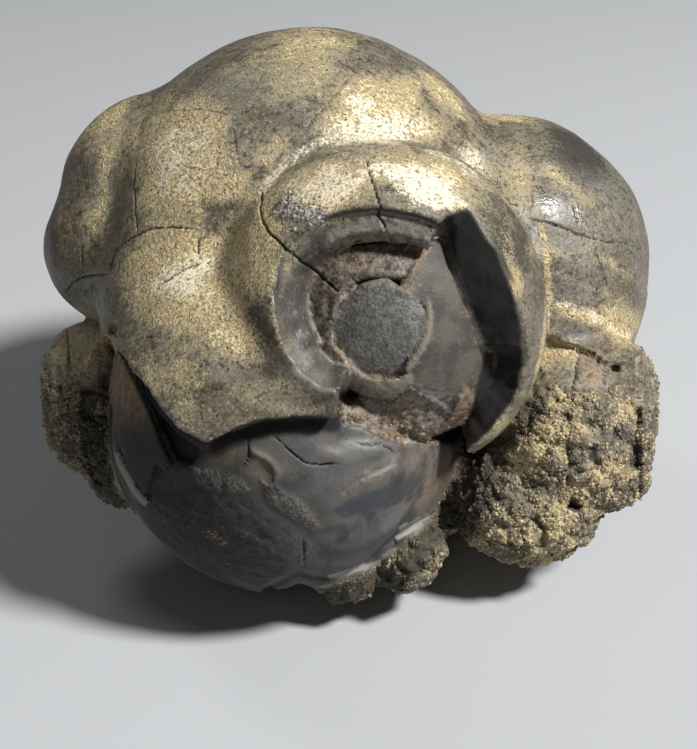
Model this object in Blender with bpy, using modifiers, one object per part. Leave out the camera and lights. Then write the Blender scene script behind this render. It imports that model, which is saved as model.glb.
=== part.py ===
"""Manganese nodule: one stone, grown as a cluster of round lobes around a big dome.

The front lobe, the nose, has a round hole broken in its thick skin, with the growth rings and the round core
inside. The lobe below it, the chin, has lost most of its skin, and what is left of it overhangs as a flap.
The low lumps are knobbly, and the stone rests on a small flat spot. The model is in metres, +Z up and -Y to the
front, with its origin on the flat spot, at the middle of the stone's box.
"""

import math
import random

import bmesh
import bpy
from mathutils import Matrix, Vector

MM = 0.001  # every size below is in millimetres

# Lobes of the main body: centre (x, y, z) and radius.
BODY_LOBES = {
    "dome": ((-5.5, 8.5, 43.0), 31.5),
    "right": ((22.5, 8.5, 38.5), 23.0),
    "left_upper": ((-27.5, 13.5, 46.5), 16.5),
    "left_lower": ((-33.5, 6.5, 42.5), 11.5),
    "shoulder": ((-22.5, -9.5, 42.0), 11.5),
    "shoulder_low": ((-18.0, -8.0, 38.0), 17.0),
    "right_ledge": ((33.5, -11.0, 27.0), 10.0),
    "back_left": ((-20.0, 22.0, 31.0), 18.0),
    "back_right": ((13.0, 22.0, 33.0), 18.5),
    "back_top": ((-2.0, 22.0, 54.0), 15.0),
    "back_low": ((-3.0, 23.0, 19.0), 15.0),
    "base_left": ((-24.0, 4.0, 20.0), 14.0),
    "base_right": ((23.0, 6.0, 19.0), 15.0),
    "base_middle": ((0.0, 3.0, 17.0), 22.0),
}
BODY_VOXEL = 1.4
BODY_SMOOTHING = 7  # passes, which round the valleys between the lobes
BODY_KEPT_FACES = 0.3
SKIN_VOXEL = 0.7  # the whole stone's last skin, after its breaks and lumps
SKIN_KEPT_FACES = 0.066

# The nose, its skin and what the hole in it shows. Points on it are (right, up) in its own face, which looks
# to the front and up by FACE_TILT.
FACE_TILT = math.radians(30)
NOSE_CENTRE, NOSE_RADIUS, NOSE_SKIN = (4.5, -18.5, 46.0), 22.0, 6.0
NOSE_SIDE_CENTRE, NOSE_SIDE_RADIUS = (7.5, -18.5, 42.0), 19.0
HOLE_OUTLINE = (
    (-5.5, -11.5), (-8, -11), (-10, -9.5), (-11.5, -7.5), (-13, -5), (-13.5, -2.5), (-13.5, 0.5), (-13, 3.5),
    (-12, 6), (-9.5, 8), (-7, 9.5), (-4.5, 10.5), (-1, 11), (1.5, 10.5), (4, 10), (6, 9.5), (7, 9), (8, 10),
    (11, 11), (12.5, 8.5), (14, 6), (16, 2), (17.5, -1.5), (18.5, -6), (18.5, -9),
)  # fmt: skip
HOLE_LOW_EDGE = ((18, -11, -3), (15, -15, -7), (9, -19, -9), (0, -20, -9), (-6, -19, -4))  # right, up and out
HOLE_HUB = (3.0, -8.0)
HOLE_REACH = 24.8  # from the nose's centre, past all of its skin

# The round core inside the hole, in a moat, and the growth rings above it.
CORE_PLACE = (0.0, -4.0)
CORE_RADIUS, CORE_RISE = 12.0, 14.7  # the ball it is cut from, and its top's distance from the nose's centre
MOAT_RADIUS, MOAT_FLOOR = 8.2, 11.6
RING_GROOVE = ((-6.0, 6.5), (-3.5, 7.8), (-0.5, 8.6), (3.0, 8.4), (6.0, 7.2))
RING_GROOVE_DISTANCE, RING_GROOVE_THICKNESS = 16.2, 1.1
RING_STEP = ((-9.5, 6.0), (-7.0, 8.2), (-4.0, 9.9), (0.0, 10.8), (3.5, 10.6), (7.0, 9.6))
RING_STEP_DISTANCE, RING_STEP_THICKNESS = 17.0, 1.5
SKIN_FOOT = ((-5.0, -7.5), (-2.5, -10.8), (1.5, -12.2), (6.0, -11.8), (11.0, -10.5))
SKIN_FOOT_DISTANCE, SKIN_FOOT_THICKNESS = 15.9, 0.8

# The chin: what is left of its skin overhangs a smooth inner layer as a flap.
CHIN_CENTRE, CHIN_RADIUS, CHIN_SKIN = (-9.0, -16.0, 26.0), 24.5, 3.7
FLAP_OUTLINE = (
    (-23.5, 12), (-21.5, 10.5), (-19.5, 8), (-16.5, 4), (-13, 0), (-9, -2.5), (-7, -1.5), (-4.5, 0), (-1.5, 1),
    (2, 1.2), (5.5, 1.2), (8, 1.1), (9, 8), (6, 16), (-5, 21), (-16, 18),
)  # fmt: skip
FLAP_BROKEN_POINTS = slice(1, 12)  # those of its points that are on the broken edge
FLAP_HUB = (-8.0, 8.0)
UNDERCUT_DEPTH, UNDERCUT_HEIGHT = 3.0, 1.7

# The plate of crust on the right ledge.
LEDGE_PLATE = ((-6.5, 7), (0, 8.8), (5.5, 7.5), (8, 3.5), (4, 1), (-1, 2.5), (-6.5, 3.5))
LEDGE_PLATE_HUB = (1.0, 5.0)
LEDGE_PLATE_THICKNESS = 1.3

# Knobbly low lumps: centre, radius and how many knobs each carries.
LUMPS = {
    "left_cap": ((-38.0, -6.0, 28.0), 7.5, 0),
    "left_front": ((-36.5, -10.0, 22.5), 7.0, 16),
    "left_low": ((-31.0, -15.0, 18.0), 6.0, 14),
    "right_front": ((31.0, -15.0, 23.5), 11.0, 70),
    "right_outer": ((36.5, -20.0, 19.0), 4.5, 8),
    "right_low": ((25.0, -19.0, 14.5), 9.0, 50),
    "right_foot": ((28.5, -21.5, 15.0), 6.5, 16),
    "chin_foot_right": ((7.5, -26.0, 11.0), 5.2, 14),
    "chin_foot_left": ((-0.5, -28.0, 9.5), 4.6, 12),
    "underside_left": ((-15.0, 0.0, 13.0), 13.5, 26),
    "underside_right": ((14.0, 2.0, 13.0), 13.5, 26),
    "underside_back": ((-1.0, 14.0, 13.0), 13.5, 26),
    "underside_front": ((2.0, -12.0, 12.0), 12.0, 20),
}
KNOB_SPREAD = (0.42, 0.75)  # a knob's radius, as a share of the distance to the next one
KNOB_RISE = (0.4, 1.6)  # how far it stands out of its lump
KNOB_SEED = 7
LUMP_VOXEL = 1.0
LUMP_KEPT_FACES = 0.2

FLOOR_CUT = 140.0


def metres(point):
    return Vector(point) * MM


def face_axes():
    """The right, up and out directions of the tilted face that the nose and the chin share."""
    right = Vector((1, 0, 0))
    up = Vector((0, math.sin(FACE_TILT), math.cos(FACE_TILT)))
    out = Vector((0, -math.cos(FACE_TILT), math.sin(FACE_TILT)))
    return right, up, out


def from_face(centre, right, up, out):
    """A point in millimetres, given as distances right, up and out from a lobe's centre."""
    axes = face_axes()
    return Vector(centre) + axes[0] * right + axes[1] * up + axes[2] * out


def clear_scene():
    for obj in list(bpy.data.objects):
        bpy.data.objects.remove(obj, do_unlink=True)


def new_collection(name):
    collection = bpy.data.collections.new(name)
    bpy.context.scene.collection.children.link(collection)
    return collection


def object_from(shape, name, collection):
    mesh = bpy.data.meshes.new(name)
    shape.to_mesh(mesh)
    shape.free()
    obj = bpy.data.objects.new(name, mesh)
    collection.objects.link(obj)
    return obj


def add_ball(shape, centre, radius, fineness):
    made = bmesh.ops.create_icosphere(shape, subdivisions=fineness, radius=radius * MM)
    bmesh.ops.translate(shape, verts=made["verts"], vec=metres(centre))


def ball(name, centre, radius, collection, fineness=4):
    shape = bmesh.new()
    add_ball(shape, centre, radius, fineness)
    return object_from(shape, name, collection)


def tube(name, centre, points, distance, radius, collection):
    """A round bar along points (right, up) of a lobe's face, at one distance from the lobe's centre."""
    curve = bpy.data.curves.new(name, "CURVE")
    curve.dimensions = "3D"
    curve.bevel_depth = radius * MM
    curve.bevel_resolution = 1
    curve.use_fill_caps = True
    curve.resolution_u = 3
    line = curve.splines.new("BEZIER")
    line.bezier_points.add(len(points) - 1)
    for knot, (right, up) in zip(line.bezier_points, points):
        knot.co = from_face(centre, *(on_lobe(distance, right, up) * distance)) * MM
        knot.handle_left_type = knot.handle_right_type = "AUTO"
    bar = bpy.data.objects.new(name + "_line", curve)
    collection.objects.link(bar)
    bpy.context.view_layer.update()
    evaluated = bar.evaluated_get(bpy.context.evaluated_depsgraph_get())
    mesh = bpy.data.meshes.new_from_object(evaluated)
    shape = bmesh.new()
    shape.from_mesh(mesh)
    bmesh.ops.remove_doubles(shape, verts=shape.verts, dist=0.01 * MM)
    bmesh.ops.recalc_face_normals(shape, faces=shape.faces)
    bpy.data.objects.remove(bar, do_unlink=True)
    return object_from(shape, name, collection)


def on_lobe(radius, right, up):
    """The direction from a lobe's centre to the point (right, up) of its front."""
    out = math.sqrt(max(radius**2 - right**2 - up**2, 1.0))
    return Vector((right, up, out)).normalized()


def cone_from(name, centre, directions, hub, reach, collection, rings=4):
    """A solid with its tip at a lobe's centre, straight walls along the directions and a domed end at reach."""
    shape = bmesh.new()

    def corner(direction, distance):
        local = direction * distance
        return shape.verts.new(from_face(centre, *local) * MM)

    hub = hub.normalized()
    tip = shape.verts.new(metres(centre))
    rows = []
    for ring in range(rings):
        share = 1 - ring / rings
        rows.append([corner(hub.slerp(direction, share), reach) for direction in directions])
    middle = corner(hub, reach)
    count = len(directions)
    for i in range(count):
        j = (i + 1) % count
        shape.faces.new((tip, rows[0][i], rows[0][j]))
        for outer, inner in zip(rows, rows[1:]):
            shape.faces.new((outer[i], inner[i], inner[j], outer[j]))
        shape.faces.new((rows[-1][i], middle, rows[-1][j]))
    bmesh.ops.triangulate(shape, faces=shape.faces)
    bmesh.ops.recalc_face_normals(shape, faces=shape.faces)
    return object_from(shape, name, collection)


def combine(target, operation, other):
    """Adds the Boolean that cuts the other shape from the target, or joins it on."""
    modifier = target.modifiers.new(other.name, "BOOLEAN")
    modifier.operation = operation
    modifier.object = other
    modifier.solver = "EXACT"


def fuse(obj, voxel, smoothing, kept_faces):
    """Runs overlapping shapes into one skin, softened if smoothing asks for it, in few faces."""
    remesh = obj.modifiers.new("fuse", "REMESH")
    remesh.mode = "VOXEL"
    remesh.voxel_size = voxel * MM
    remesh.adaptivity = 0.0
    if smoothing:
        smooth = obj.modifiers.new("soften", "SMOOTH")
        smooth.factor = 0.5
        smooth.iterations = smoothing
    fewer = obj.modifiers.new("fewer_faces", "DECIMATE")
    fewer.ratio = kept_faces
    fewer.use_collapse_triangulate = True


def make_body(collection):
    """The lobes, with the nose still whole and the chin without its skin."""
    shape = bmesh.new()
    for centre, radius in BODY_LOBES.values():
        add_ball(shape, centre, radius, 4)
    add_ball(shape, NOSE_CENTRE, NOSE_RADIUS, 5)
    add_ball(shape, NOSE_SIDE_CENTRE, NOSE_SIDE_RADIUS, 4)
    add_ball(shape, CHIN_CENTRE, CHIN_RADIUS, 5)
    body = object_from(shape, "nodule", collection)
    fuse(body, BODY_VOXEL, BODY_SMOOTHING, BODY_KEPT_FACES)
    return body


def even_directions(count, dice):
    """Directions spread evenly round a ball, each a little out of place."""
    golden_turn = math.pi * (3 - math.sqrt(5))
    for i in range(count):
        rise = 1 - 2 * (i + 0.5) / count
        flat = math.sqrt(1 - rise**2)
        turn = i * golden_turn
        jitter = Vector([dice.gauss(0, 0.12) for _ in range(3)])
        yield (Vector((flat * math.cos(turn), flat * math.sin(turn), rise)) + jitter).normalized()


def make_lumps(collection):
    """The low lumps, each covered in knobs, run into one mass."""
    dice = random.Random(KNOB_SEED)
    shape = bmesh.new()
    for centre, radius, knobs in LUMPS.values():
        add_ball(shape, centre, radius, 3)
        spacing = radius * math.sqrt(4 * math.pi / max(knobs, 1))
        for direction in even_directions(knobs, dice):
            size = spacing * dice.uniform(*KNOB_SPREAD)
            middle = Vector(centre) + direction * (radius - size + dice.uniform(*KNOB_RISE))
            add_ball(shape, middle, size, 2)
    lumps = object_from(shape, "lumps", collection)
    fuse(lumps, LUMP_VOXEL, 1, LUMP_KEPT_FACES)
    return lumps


def break_nose(body, helpers):
    """Opens the hole in the nose's skin and sets the growth rings and the core in it."""
    directions = [on_lobe(NOSE_RADIUS, *point) for point in HOLE_OUTLINE]
    directions += [Vector(point).normalized() for point in HOLE_LOW_EDGE]
    hub = on_lobe(NOSE_RADIUS, *HOLE_HUB)
    combine(body, "DIFFERENCE", cone_from("hole", NOSE_CENTRE, directions, hub, HOLE_REACH, helpers, rings=8))
    combine(body, "UNION", ball("inner_nose", NOSE_CENTRE, NOSE_RADIUS - NOSE_SKIN, helpers))
    combine(body, "UNION", ball("inner_chin", CHIN_CENTRE, CHIN_RADIUS, helpers))
    groove = tube("ring_groove", NOSE_CENTRE, RING_GROOVE, RING_GROOVE_DISTANCE, RING_GROOVE_THICKNESS, helpers)
    combine(body, "DIFFERENCE", groove)
    step = tube("ring_step", NOSE_CENTRE, RING_STEP, RING_STEP_DISTANCE, RING_STEP_THICKNESS, helpers)
    combine(body, "UNION", step)
    foot = tube("skin_foot", NOSE_CENTRE, SKIN_FOOT, SKIN_FOOT_DISTANCE, SKIN_FOOT_THICKNESS, helpers)
    combine(body, "UNION", foot)
    combine(body, "DIFFERENCE", moat_cutter(helpers))
    core_middle = from_face(NOSE_CENTRE, *CORE_PLACE, CORE_RISE - CORE_RADIUS)
    combine(body, "UNION", ball("core", core_middle, CORE_RADIUS, helpers))


def moat_cutter(helpers):
    """A round plug that sinks the surface around the core."""
    length = 10.0
    shape = bmesh.new()
    bmesh.ops.create_cone(
        shape, cap_ends=True, segments=40, radius1=MOAT_RADIUS * MM, radius2=MOAT_RADIUS * MM, depth=length * MM
    )
    turned = Matrix.Rotation(math.pi / 2 - FACE_TILT, 4, "X")
    middle = from_face(NOSE_CENTRE, *CORE_PLACE, MOAT_FLOOR + length / 2)
    bmesh.ops.transform(shape, matrix=Matrix.Translation(middle * MM) @ turned, verts=shape.verts)
    return object_from(shape, "moat", helpers)


def add_flap(body, helpers):
    """What is left of the chin's skin: a patch of a larger ball, undercut along its broken edge."""
    skin_radius = CHIN_RADIUS + CHIN_SKIN
    hub = on_lobe(skin_radius, *FLAP_HUB)
    directions = [on_lobe(skin_radius, *point) for point in FLAP_OUTLINE]
    patch = cone_from("flap_patch", CHIN_CENTRE, directions, hub, 1.3 * skin_radius, helpers)
    flap = ball("flap", CHIN_CENTRE, skin_radius, helpers, 5)
    combine(flap, "INTERSECT", patch)
    broken = FLAP_OUTLINE[FLAP_BROKEN_POINTS]
    below = [on_lobe(skin_radius, right, up - UNDERCUT_DEPTH) for right, up in broken]
    above = [on_lobe(skin_radius, right, up + UNDERCUT_DEPTH) for right, up in reversed(broken)]
    slot_hub = on_lobe(skin_radius, *broken[len(broken) // 2])
    reach = CHIN_RADIUS + UNDERCUT_HEIGHT
    slot = cone_from("undercut", CHIN_CENTRE, below + above, slot_hub, reach, helpers)
    combine(flap, "DIFFERENCE", slot)
    combine(body, "UNION", flap)


def add_ledge_plate(body, helpers):
    """The plate of crust that lies on the right ledge."""
    centre, radius = BODY_LOBES["right_ledge"]
    plate = ball("ledge_plate", centre, radius + LEDGE_PLATE_THICKNESS, helpers)
    directions = [on_lobe(radius, *point) for point in LEDGE_PLATE]
    hub = on_lobe(radius, *LEDGE_PLATE_HUB)
    patch = cone_from("ledge_patch", centre, directions, hub, 1.5 * radius, helpers)
    combine(plate, "INTERSECT", patch)
    combine(body, "UNION", plate)


def rest_flat(body, helpers):
    """Cuts the underside off level, which leaves the flat spot."""
    shape = bmesh.new()
    bmesh.ops.create_cube(shape, size=FLOOR_CUT * MM)
    bmesh.ops.translate(shape, verts=shape.verts, vec=(0, 0, -FLOOR_CUT * MM / 2))
    combine(body, "DIFFERENCE", object_from(shape, "floor_cut", helpers))


def stone_material():
    material = bpy.data.materials.new("manganese_oxide")
    material.use_nodes = True
    shader = material.node_tree.nodes["Principled BSDF"]
    shader.inputs["Base Color"].default_value = (0.07, 0.055, 0.04, 1.0)
    shader.inputs["Roughness"].default_value = 0.6
    shader.inputs["Metallic"].default_value = 0.0
    material.diffuse_color = (0.07, 0.055, 0.04, 1.0)
    return material


def main():
    clear_scene()
    parts = new_collection("manganese_nodule")
    helpers = new_collection("cutters")
    nodule = make_body(parts)
    nodule.data.materials.append(stone_material())
    break_nose(nodule, helpers)
    add_flap(nodule, helpers)
    add_ledge_plate(nodule, helpers)
    combine(nodule, "UNION", make_lumps(helpers))
    fuse(nodule, SKIN_VOXEL, 0, SKIN_KEPT_FACES)
    rest_flat(nodule, helpers)
    for helper in helpers.objects:
        helper.hide_render = True
        helper.display_type = "WIRE"


main()
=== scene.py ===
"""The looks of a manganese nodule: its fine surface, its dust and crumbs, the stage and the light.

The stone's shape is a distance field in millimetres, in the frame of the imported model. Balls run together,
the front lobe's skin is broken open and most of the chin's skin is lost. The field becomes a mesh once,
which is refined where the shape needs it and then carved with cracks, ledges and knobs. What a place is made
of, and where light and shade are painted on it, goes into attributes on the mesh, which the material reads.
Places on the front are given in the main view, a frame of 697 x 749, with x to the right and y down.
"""

import functools
import itertools
import math
from types import SimpleNamespace

import bpy
import numpy as np
import openvdb
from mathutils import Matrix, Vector
from mathutils.bvhtree import BVHTree


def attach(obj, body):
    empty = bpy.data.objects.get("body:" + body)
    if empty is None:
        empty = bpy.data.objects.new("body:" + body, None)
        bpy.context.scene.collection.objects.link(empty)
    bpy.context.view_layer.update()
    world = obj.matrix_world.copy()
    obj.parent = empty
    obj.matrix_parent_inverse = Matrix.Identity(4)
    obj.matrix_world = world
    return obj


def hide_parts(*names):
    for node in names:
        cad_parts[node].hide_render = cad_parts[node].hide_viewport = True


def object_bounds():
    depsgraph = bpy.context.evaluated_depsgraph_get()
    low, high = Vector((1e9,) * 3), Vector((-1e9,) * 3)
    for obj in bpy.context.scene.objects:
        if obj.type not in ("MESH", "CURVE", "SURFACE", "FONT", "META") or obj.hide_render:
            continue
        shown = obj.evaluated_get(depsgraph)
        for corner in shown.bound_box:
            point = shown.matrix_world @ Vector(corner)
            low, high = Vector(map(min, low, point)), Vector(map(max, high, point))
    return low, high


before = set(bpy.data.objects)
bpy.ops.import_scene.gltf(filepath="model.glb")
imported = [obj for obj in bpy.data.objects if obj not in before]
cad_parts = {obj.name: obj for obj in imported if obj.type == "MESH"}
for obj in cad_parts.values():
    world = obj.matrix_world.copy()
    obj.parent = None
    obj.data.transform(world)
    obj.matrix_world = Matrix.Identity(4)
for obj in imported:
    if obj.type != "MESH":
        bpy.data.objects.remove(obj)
cad_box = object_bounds()

MM = 0.001
FAR = 20.0  # a distance in mm past which a shape has no effect

# ---------------------------------------------------------------- the main view
VIEW_WIDTH, VIEW_HEIGHT = 697, 749
FOCAL_LENGTH = 1445.0  # in the view's own pixels
CAMERA_PLACE = np.array((0.0, -192.0, 135.3))
CAMERA_DOWN = math.radians(30.05)
LOOK_RIGHT = np.array((1.0, 0.0, 0.0))
LOOK_UP = np.array((0.0, math.sin(CAMERA_DOWN), math.cos(CAMERA_DOWN)))
LOOK_AHEAD = np.array((0.0, math.cos(CAMERA_DOWN), -math.sin(CAMERA_DOWN)))

# ---------------------------------------------------------------- the lobes
# Each is (centre, radius or radii, how softly it runs into the lobes before it), in millimetres.
SMOOTH_LOBES = {
    "dome": ((-5.7, 8.7, 42.9), 31.4, 0.0),
    "right": ((22.7, 8.4, 38.4), 23.2, 2.5),
    "left_upper": ((-27.7, 13.3, 46.8), (16.4, 16.4, 17.2), 2.5),
    "left_lower": ((-33.9, 6.3, 42.8), 11.8, 3.0),
    "shoulder": ((-22.5, -9.3, 41.8), 11.3, 9.0),
    "back_left": ((-20.0, 22.0, 31.0), 18.0, 4.0),
    "back_right": ((13.0, 22.0, 33.0), 18.5, 4.0),
    "back_top": ((-2.0, 22.0, 54.0), 15.0, 4.0),
}
KNOBBLY_LOBES = {
    "left_cap": ((-38.2, -5.7, 28.0), 7.4, 2.0),
    "left_front": ((-36.8, -10.1, 22.3), 7.8, 2.0),
    "left_low": ((-31.3, -14.9, 18.0), 6.5, 2.0),
    "ledge": ((33.5, -10.9, 26.9), 10.2, 2.0),
    "right_front": ((30.9, -15.1, 23.7), 11.8, 2.0),
    "right_outer": ((36.7, -20.0, 19.2), 5.2, 1.5),
    "right_low": ((24.8, -19.1, 14.7), 9.6, 1.5),
    "right_foot": ((28.7, -21.4, 14.9), 7.2, 1.5),
    "chin_foot_right": ((7.6, -25.9, 11.0), 5.8, 1.5),
    "chin_foot_left": ((-0.5, -28.1, 9.3), 5.1, 1.5),
    "back_low": ((-3.0, 23.0, 19.0), 15.0, 4.0),
    "base_left": ((-24.0, 4.0, 20.0), 14.0, 4.0),
    "base_right": ((23.0, 6.0, 19.0), 15.0, 4.0),
    "base": ((0.0, 3.0, 14.5), (29.0, 26.0, 18.5), 4.0),
}
NOSE_CENTRE, NOSE_RADIUS, NOSE_INNER_RADIUS = np.array((4.25, -18.4, 46.0)), 21.9, 15.9
NOSE_SIDE_CENTRE, NOSE_SIDE_RADIUS, NOSE_SIDE_INNER_RADIUS = np.array((7.7, -18.4, 41.9)), 19.0, 14.7
NOSE_BLEND, NOSE_INNER_BLEND, HOLE_BLEND = 2.0, 2.5, 0.6
CHIN_CENTRE, CHIN_RADIUS, CHIN_INNER_RADIUS = np.array((-9.1, -16.1, 26.0)), 28.1, 24.5
CHIN_BLEND = 3.0
SWELL_HEIGHT, SWELL_SIZE = 0.35, 13.0  # the slow unevenness of every lobe

# ---------------------------------------------------------------- the broken places, in the main view
HOLE_RIM = (
    (339, 391), (317, 386), (301, 373), (289, 357), (279, 336), (273.5, 315), (272, 291), (275.5, 269),
    (287, 248), (305, 231), (325, 217.5), (348, 210), (375, 206.5), (396, 209), (417, 212), (430, 217),
    (441, 222), (447, 215), (455, 212), (470, 208), (482, 228), (496, 250), (509.5, 281), (520, 309),
    (525, 329), (526, 345), (524, 367), (520, 390), (511, 407), (498, 422), (487, 436), (471, 450),
    (440, 470), (380, 480), (330, 470), (335, 425),
)  # fmt: skip
LOST_CHIN_SKIN = (
    (60, 330), (112, 333), (118, 345), (130, 365), (150, 395), (175, 425), (205, 446), (218, 437),
    (240, 426), (265, 419), (290, 417), (318, 417), (340, 418), (339, 391), (380, 380), (440, 395),
    (462, 425), (467, 437), (485, 434), (500, 430), (507, 442), (500, 520), (470, 640), (280, 700),
    (60, 640), (0, 450),
)  # fmt: skip
LEDGE_LIP = (
    (532, 330), (542, 332), (560, 340), (580, 347), (592, 353), (605, 361), (615, 367), (625, 363),
    (640, 352),
)  # fmt: skip
LEDGE_THICKNESS, LEDGE_FADE = 1.1, 30.0  # in mm, and in view pixels up from the lip
LEDGE_START, LEDGE_REACH = (530.0, 545.0), 60  # its left end, and how far it reaches from the lip
LEDGE_BACK = 5.0  # how far along the view it ends, in mm
FLAP_UNDERCUT = 5.0  # how far the gap reaches under the flap
FLAP_GAP, FLAP_GAP_LEFT = 3.1, 2.0  # the gap's height over the inner layer
FLAP_GAP_FROM, FLAP_GAP_TO = 205, 245  # where it opens, along the view's width
FLAP_FOOT = 12.0  # the gap ends this far above the chin's middle
FLAP_UNDER_REACH = 7  # how far under the flap its shade starts, in mm
UNDER_FLAP_ACROSS, UNDER_FLAP_TOP = (215, 338), (398, 406)  # where that shade is, in the view
EDGE_RAGGEDNESS, EDGE_NOTCH_SIZE = 0.2, 2.4
WALL_STEP_RADIUS, WALL_STEP, WALL_STEP_EDGE = 19.0, 0.6, 0.15  # the broad step low in the hole's right wall
WALL_STEP_START, WALL_STEP_TOP = (12.0, 13.5), (39.5, 40.5)  # its left end and its top, in mm
HOLE_CUT_OVER, CHIN_CUT_OVER = 1.5, 0.9  # how far above the skin each is cut away
# (place in the main view, radius in mm, depth along the view in mm)
POCKETS = (
    ((113, 331), 0.9, 5.0),
    ((117, 345), 1.1, 5.0),
    ((114, 358), 0.8, 4.0),
    ((616, 369), 0.6, 1.6),
    ((352, 393), 1.0, 1.2),
    ((447, 545), 1.8, 4.0),
    ((575, 505), 0.9, 2.0),
)
POCKET_TAPER = 0.3
SIGHT_RANGE = (140.0, 280.0)  # between these distances from the camera, in mm, the stone is looked for
SIGHT_STEPS, CLOSE_ENOUGH = 120, 0.02
BACK_SHARE = 0.75  # the outlines aren't carried to the lobes' far side
PAST_THE_ENDS = -6.0  # what counts as above a line, for places past its ends
pocket_lines = []  # (start, end, radius) in mm, once the pockets are found

# ---------------------------------------------------------------- inside the hole
# The rings' height over the inner ball, in mm, by how far a place is inside the rim, in view pixels.
TREAD_HEIGHTS = ((-2, 0.0), (0, 4.5), (9, 4.5), (24, 3.2), (37, -0.3), (54, -0.4), (67, -0.3), (74, -1.3))
SIDE_HEIGHTS = (
    (-2, 0.0), (0, 5.4), (4, 4.9), (22, 2.2), (35, -0.4), (38, -0.9), (49, -0.9), (54, -1.3), (59, -1.3),
)  # fmt: skip
SIDE_EDGE = 34.0  # how wide the slope of broken skin is
TREADS_START, TREADS_FULL = 298, 340  # along the view's width
TREADS_END, TREADS_FOOT, SIDE_FOOT = (440, 450), (335, 350), (392, 398)
GROOVES = (  # (line, half width, depth)
    (((352, 246), (362, 243), (380, 242), (398, 243), (415, 245), (434, 249)), 4.2, 2.0),
    (((357, 284), (366, 280), (380, 279), (392, 279.5), (402, 281)), 4.0, 1.6),
)
CORE_PLACE, CORE_SIZE = (381, 331), 48.5
CORE_LEFT, CORE_RIGHT, CORE_TILT = -1.3, -0.15, (345, 425)  # its height at each side, and where it rises
CORE_OVAL = (1.0, 0.98)
LAYER_PLATE = (
    (449, 205), (438, 222), (432, 234), (424, 247), (419, 253), (411, 268), (402, 284), (393, 295),
        (409, 296),
    (418, 300), (424, 308), (426, 319), (423, 335), (414, 351), (403, 367), (410, 379), (425, 386),
        (445, 391),
    (463, 396), (474, 384), (485, 360), (540, 352), (540, 300), (500, 215), (470, 195),
)  # fmt: skip
RIDGE_BAND = ((329, 347), (340, 361), (354, 376), (371, 384.5), (390, 385.5), (408, 378))
RIDGE_HALF_WIDTH, RIDGE_RISE = 6.0, 0.12
THIN_RIDGE = ((430, 303), (431, 320), (428, 338), (418, 356), (406, 371))
THIN_RIDGE_HALF_WIDTH, THIN_RIDGE_RISE = 4.0, 0.15
RUBBLE_FLOOR = (
    (337, 374), (345, 386), (368, 396), (392, 398), (409, 388), (430, 401), (452, 416), (448, 437),
    (425, 446), (395, 444), (366, 430), (337, 423),
)  # fmt: skip
RUBBLE_HEIGHT, RUBBLE_RISE, RUBBLE_SUNK = -0.9, 1.7, -1.1
RUBBLE_SLOPE = (402, 440)
WEDGE = ((409, 383), (425, 388), (463, 397), (470, 404), (455, 418), (430, 401))
WEDGE_HEIGHT = -0.35
FACET = ((463, 384), (453, 411), (439, 430), (429, 441), (450, 444), (466, 424), (475, 396))
FACET_HEIGHT = 0.3

# Where shadow is painted on the hole's right side: its wall and the plate at its foot.
DARK_SIDE = (
    (444, 222), (452, 250), (464, 286), (476, 320), (486, 347), (476, 385), (472, 405), (462, 426),
    (448, 444), (470, 470), (540, 420), (545, 330), (500, 200), (462, 200),
)  # fmt: skip
SIDE_SLANT, SLANT_DEPTH = 0.42, 6.0  # how far the dark side leans in for each mm of depth, and down to where
SLANT_START, SLANT_FOOT = (440, 458), (344, 356)
HOLE_WANDER = (1.3, 1.9, 31)  # view pixels to and fro, wave size in mm, seed
RELIEF_REACH = 6.0  # how far from an inner ball its relief is felt, in mm

# ---------------------------------------------------------------- the chin
# The steps below the chin's seam, by how far a place is below it, in view pixels.
SEAM = (
    (262, 586), (274, 580), (288, 572), (300, 567), (316, 573), (330, 573), (345, 568), (360, 562),
    (374, 550), (386, 539), (400, 528), (414, 521), (428, 514), (446, 508),
)  # fmt: skip
SEAM_STEPS = (
    (-2.0, 0.0), (0.5, -0.15), (3.0, -0.95), (5.5, -1.05), (8.0, -0.6), (12.5, -0.7), (15.0, -1.3),
    (20.0, -2.2),
)  # fmt: skip
# (place, radii, turn in degrees, height in mm)
CHIN_SWELLS = (
    ((264, 470), (9, 11), 20, -0.35),
    ((293, 465), (10, 12), 0, -0.3),
    ((374, 451), (24, 10), -12, 0.55),
    ((334, 457), (13, 7), 0, 0.4),
    ((350, 438), (14, 6), -15, -0.25),
    ((312, 448), (12, 9), 30, 0.22),
    ((420, 470), (40, 12), -30, 0.3),
    ((380, 500), (55, 11), -22, -0.3),
    ((345, 545), (50, 9), -12, 0.25),
    ((344, 392), (12, 12), 0, -2.2),
)
CHIN_FOLD = ((252, 452), (262, 457), (272, 464), (278, 474), (274, 484))
CHIN_FOLD_WIDTH, CHIN_FOLD_RISE = 3.5, 0.5
CHIN_UNEVENNESS, CHIN_HUMP_SIZE = 0.14, 6.0
CHIN_WANDER = (1.2, 2.6, 41)
SEAM_EXTENT = (-3.0, 20.0)  # where the steps are
SEAM_FOOT, SEAM_FOOT_REACH = (19.0, 25.0), 4.0  # where the crust under them starts, and how far out, in mm
CHIN_STEP = ((340, 491), (350, 484), (360, 477), (370, 473), (381, 469), (390, 463), (397, 455))
CHIN_STEP_DROP = 0.22  # the stone is this much higher above the line
CRUMB_STRIPS = (
    ((189, 466), (205, 468), (226, 474), (241, 481), (251, 490), (244, 493), (226, 491), (208, 488),
        (196, 481)),
    ((262, 482), (277, 487), (296, 498), (308, 511), (319, 527), (313, 532), (299, 523), (283, 512),
        (268, 503)),
)
CRESCENT_SHELL = (
    (119, 350), (129, 371), (142, 398), (152, 418), (161, 440), (172, 464), (166, 472), (157, 462),
        (152, 480),
    (146, 494), (131, 472), (119, 437), (110, 392), (112, 360),
)  # fmt: skip
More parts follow.
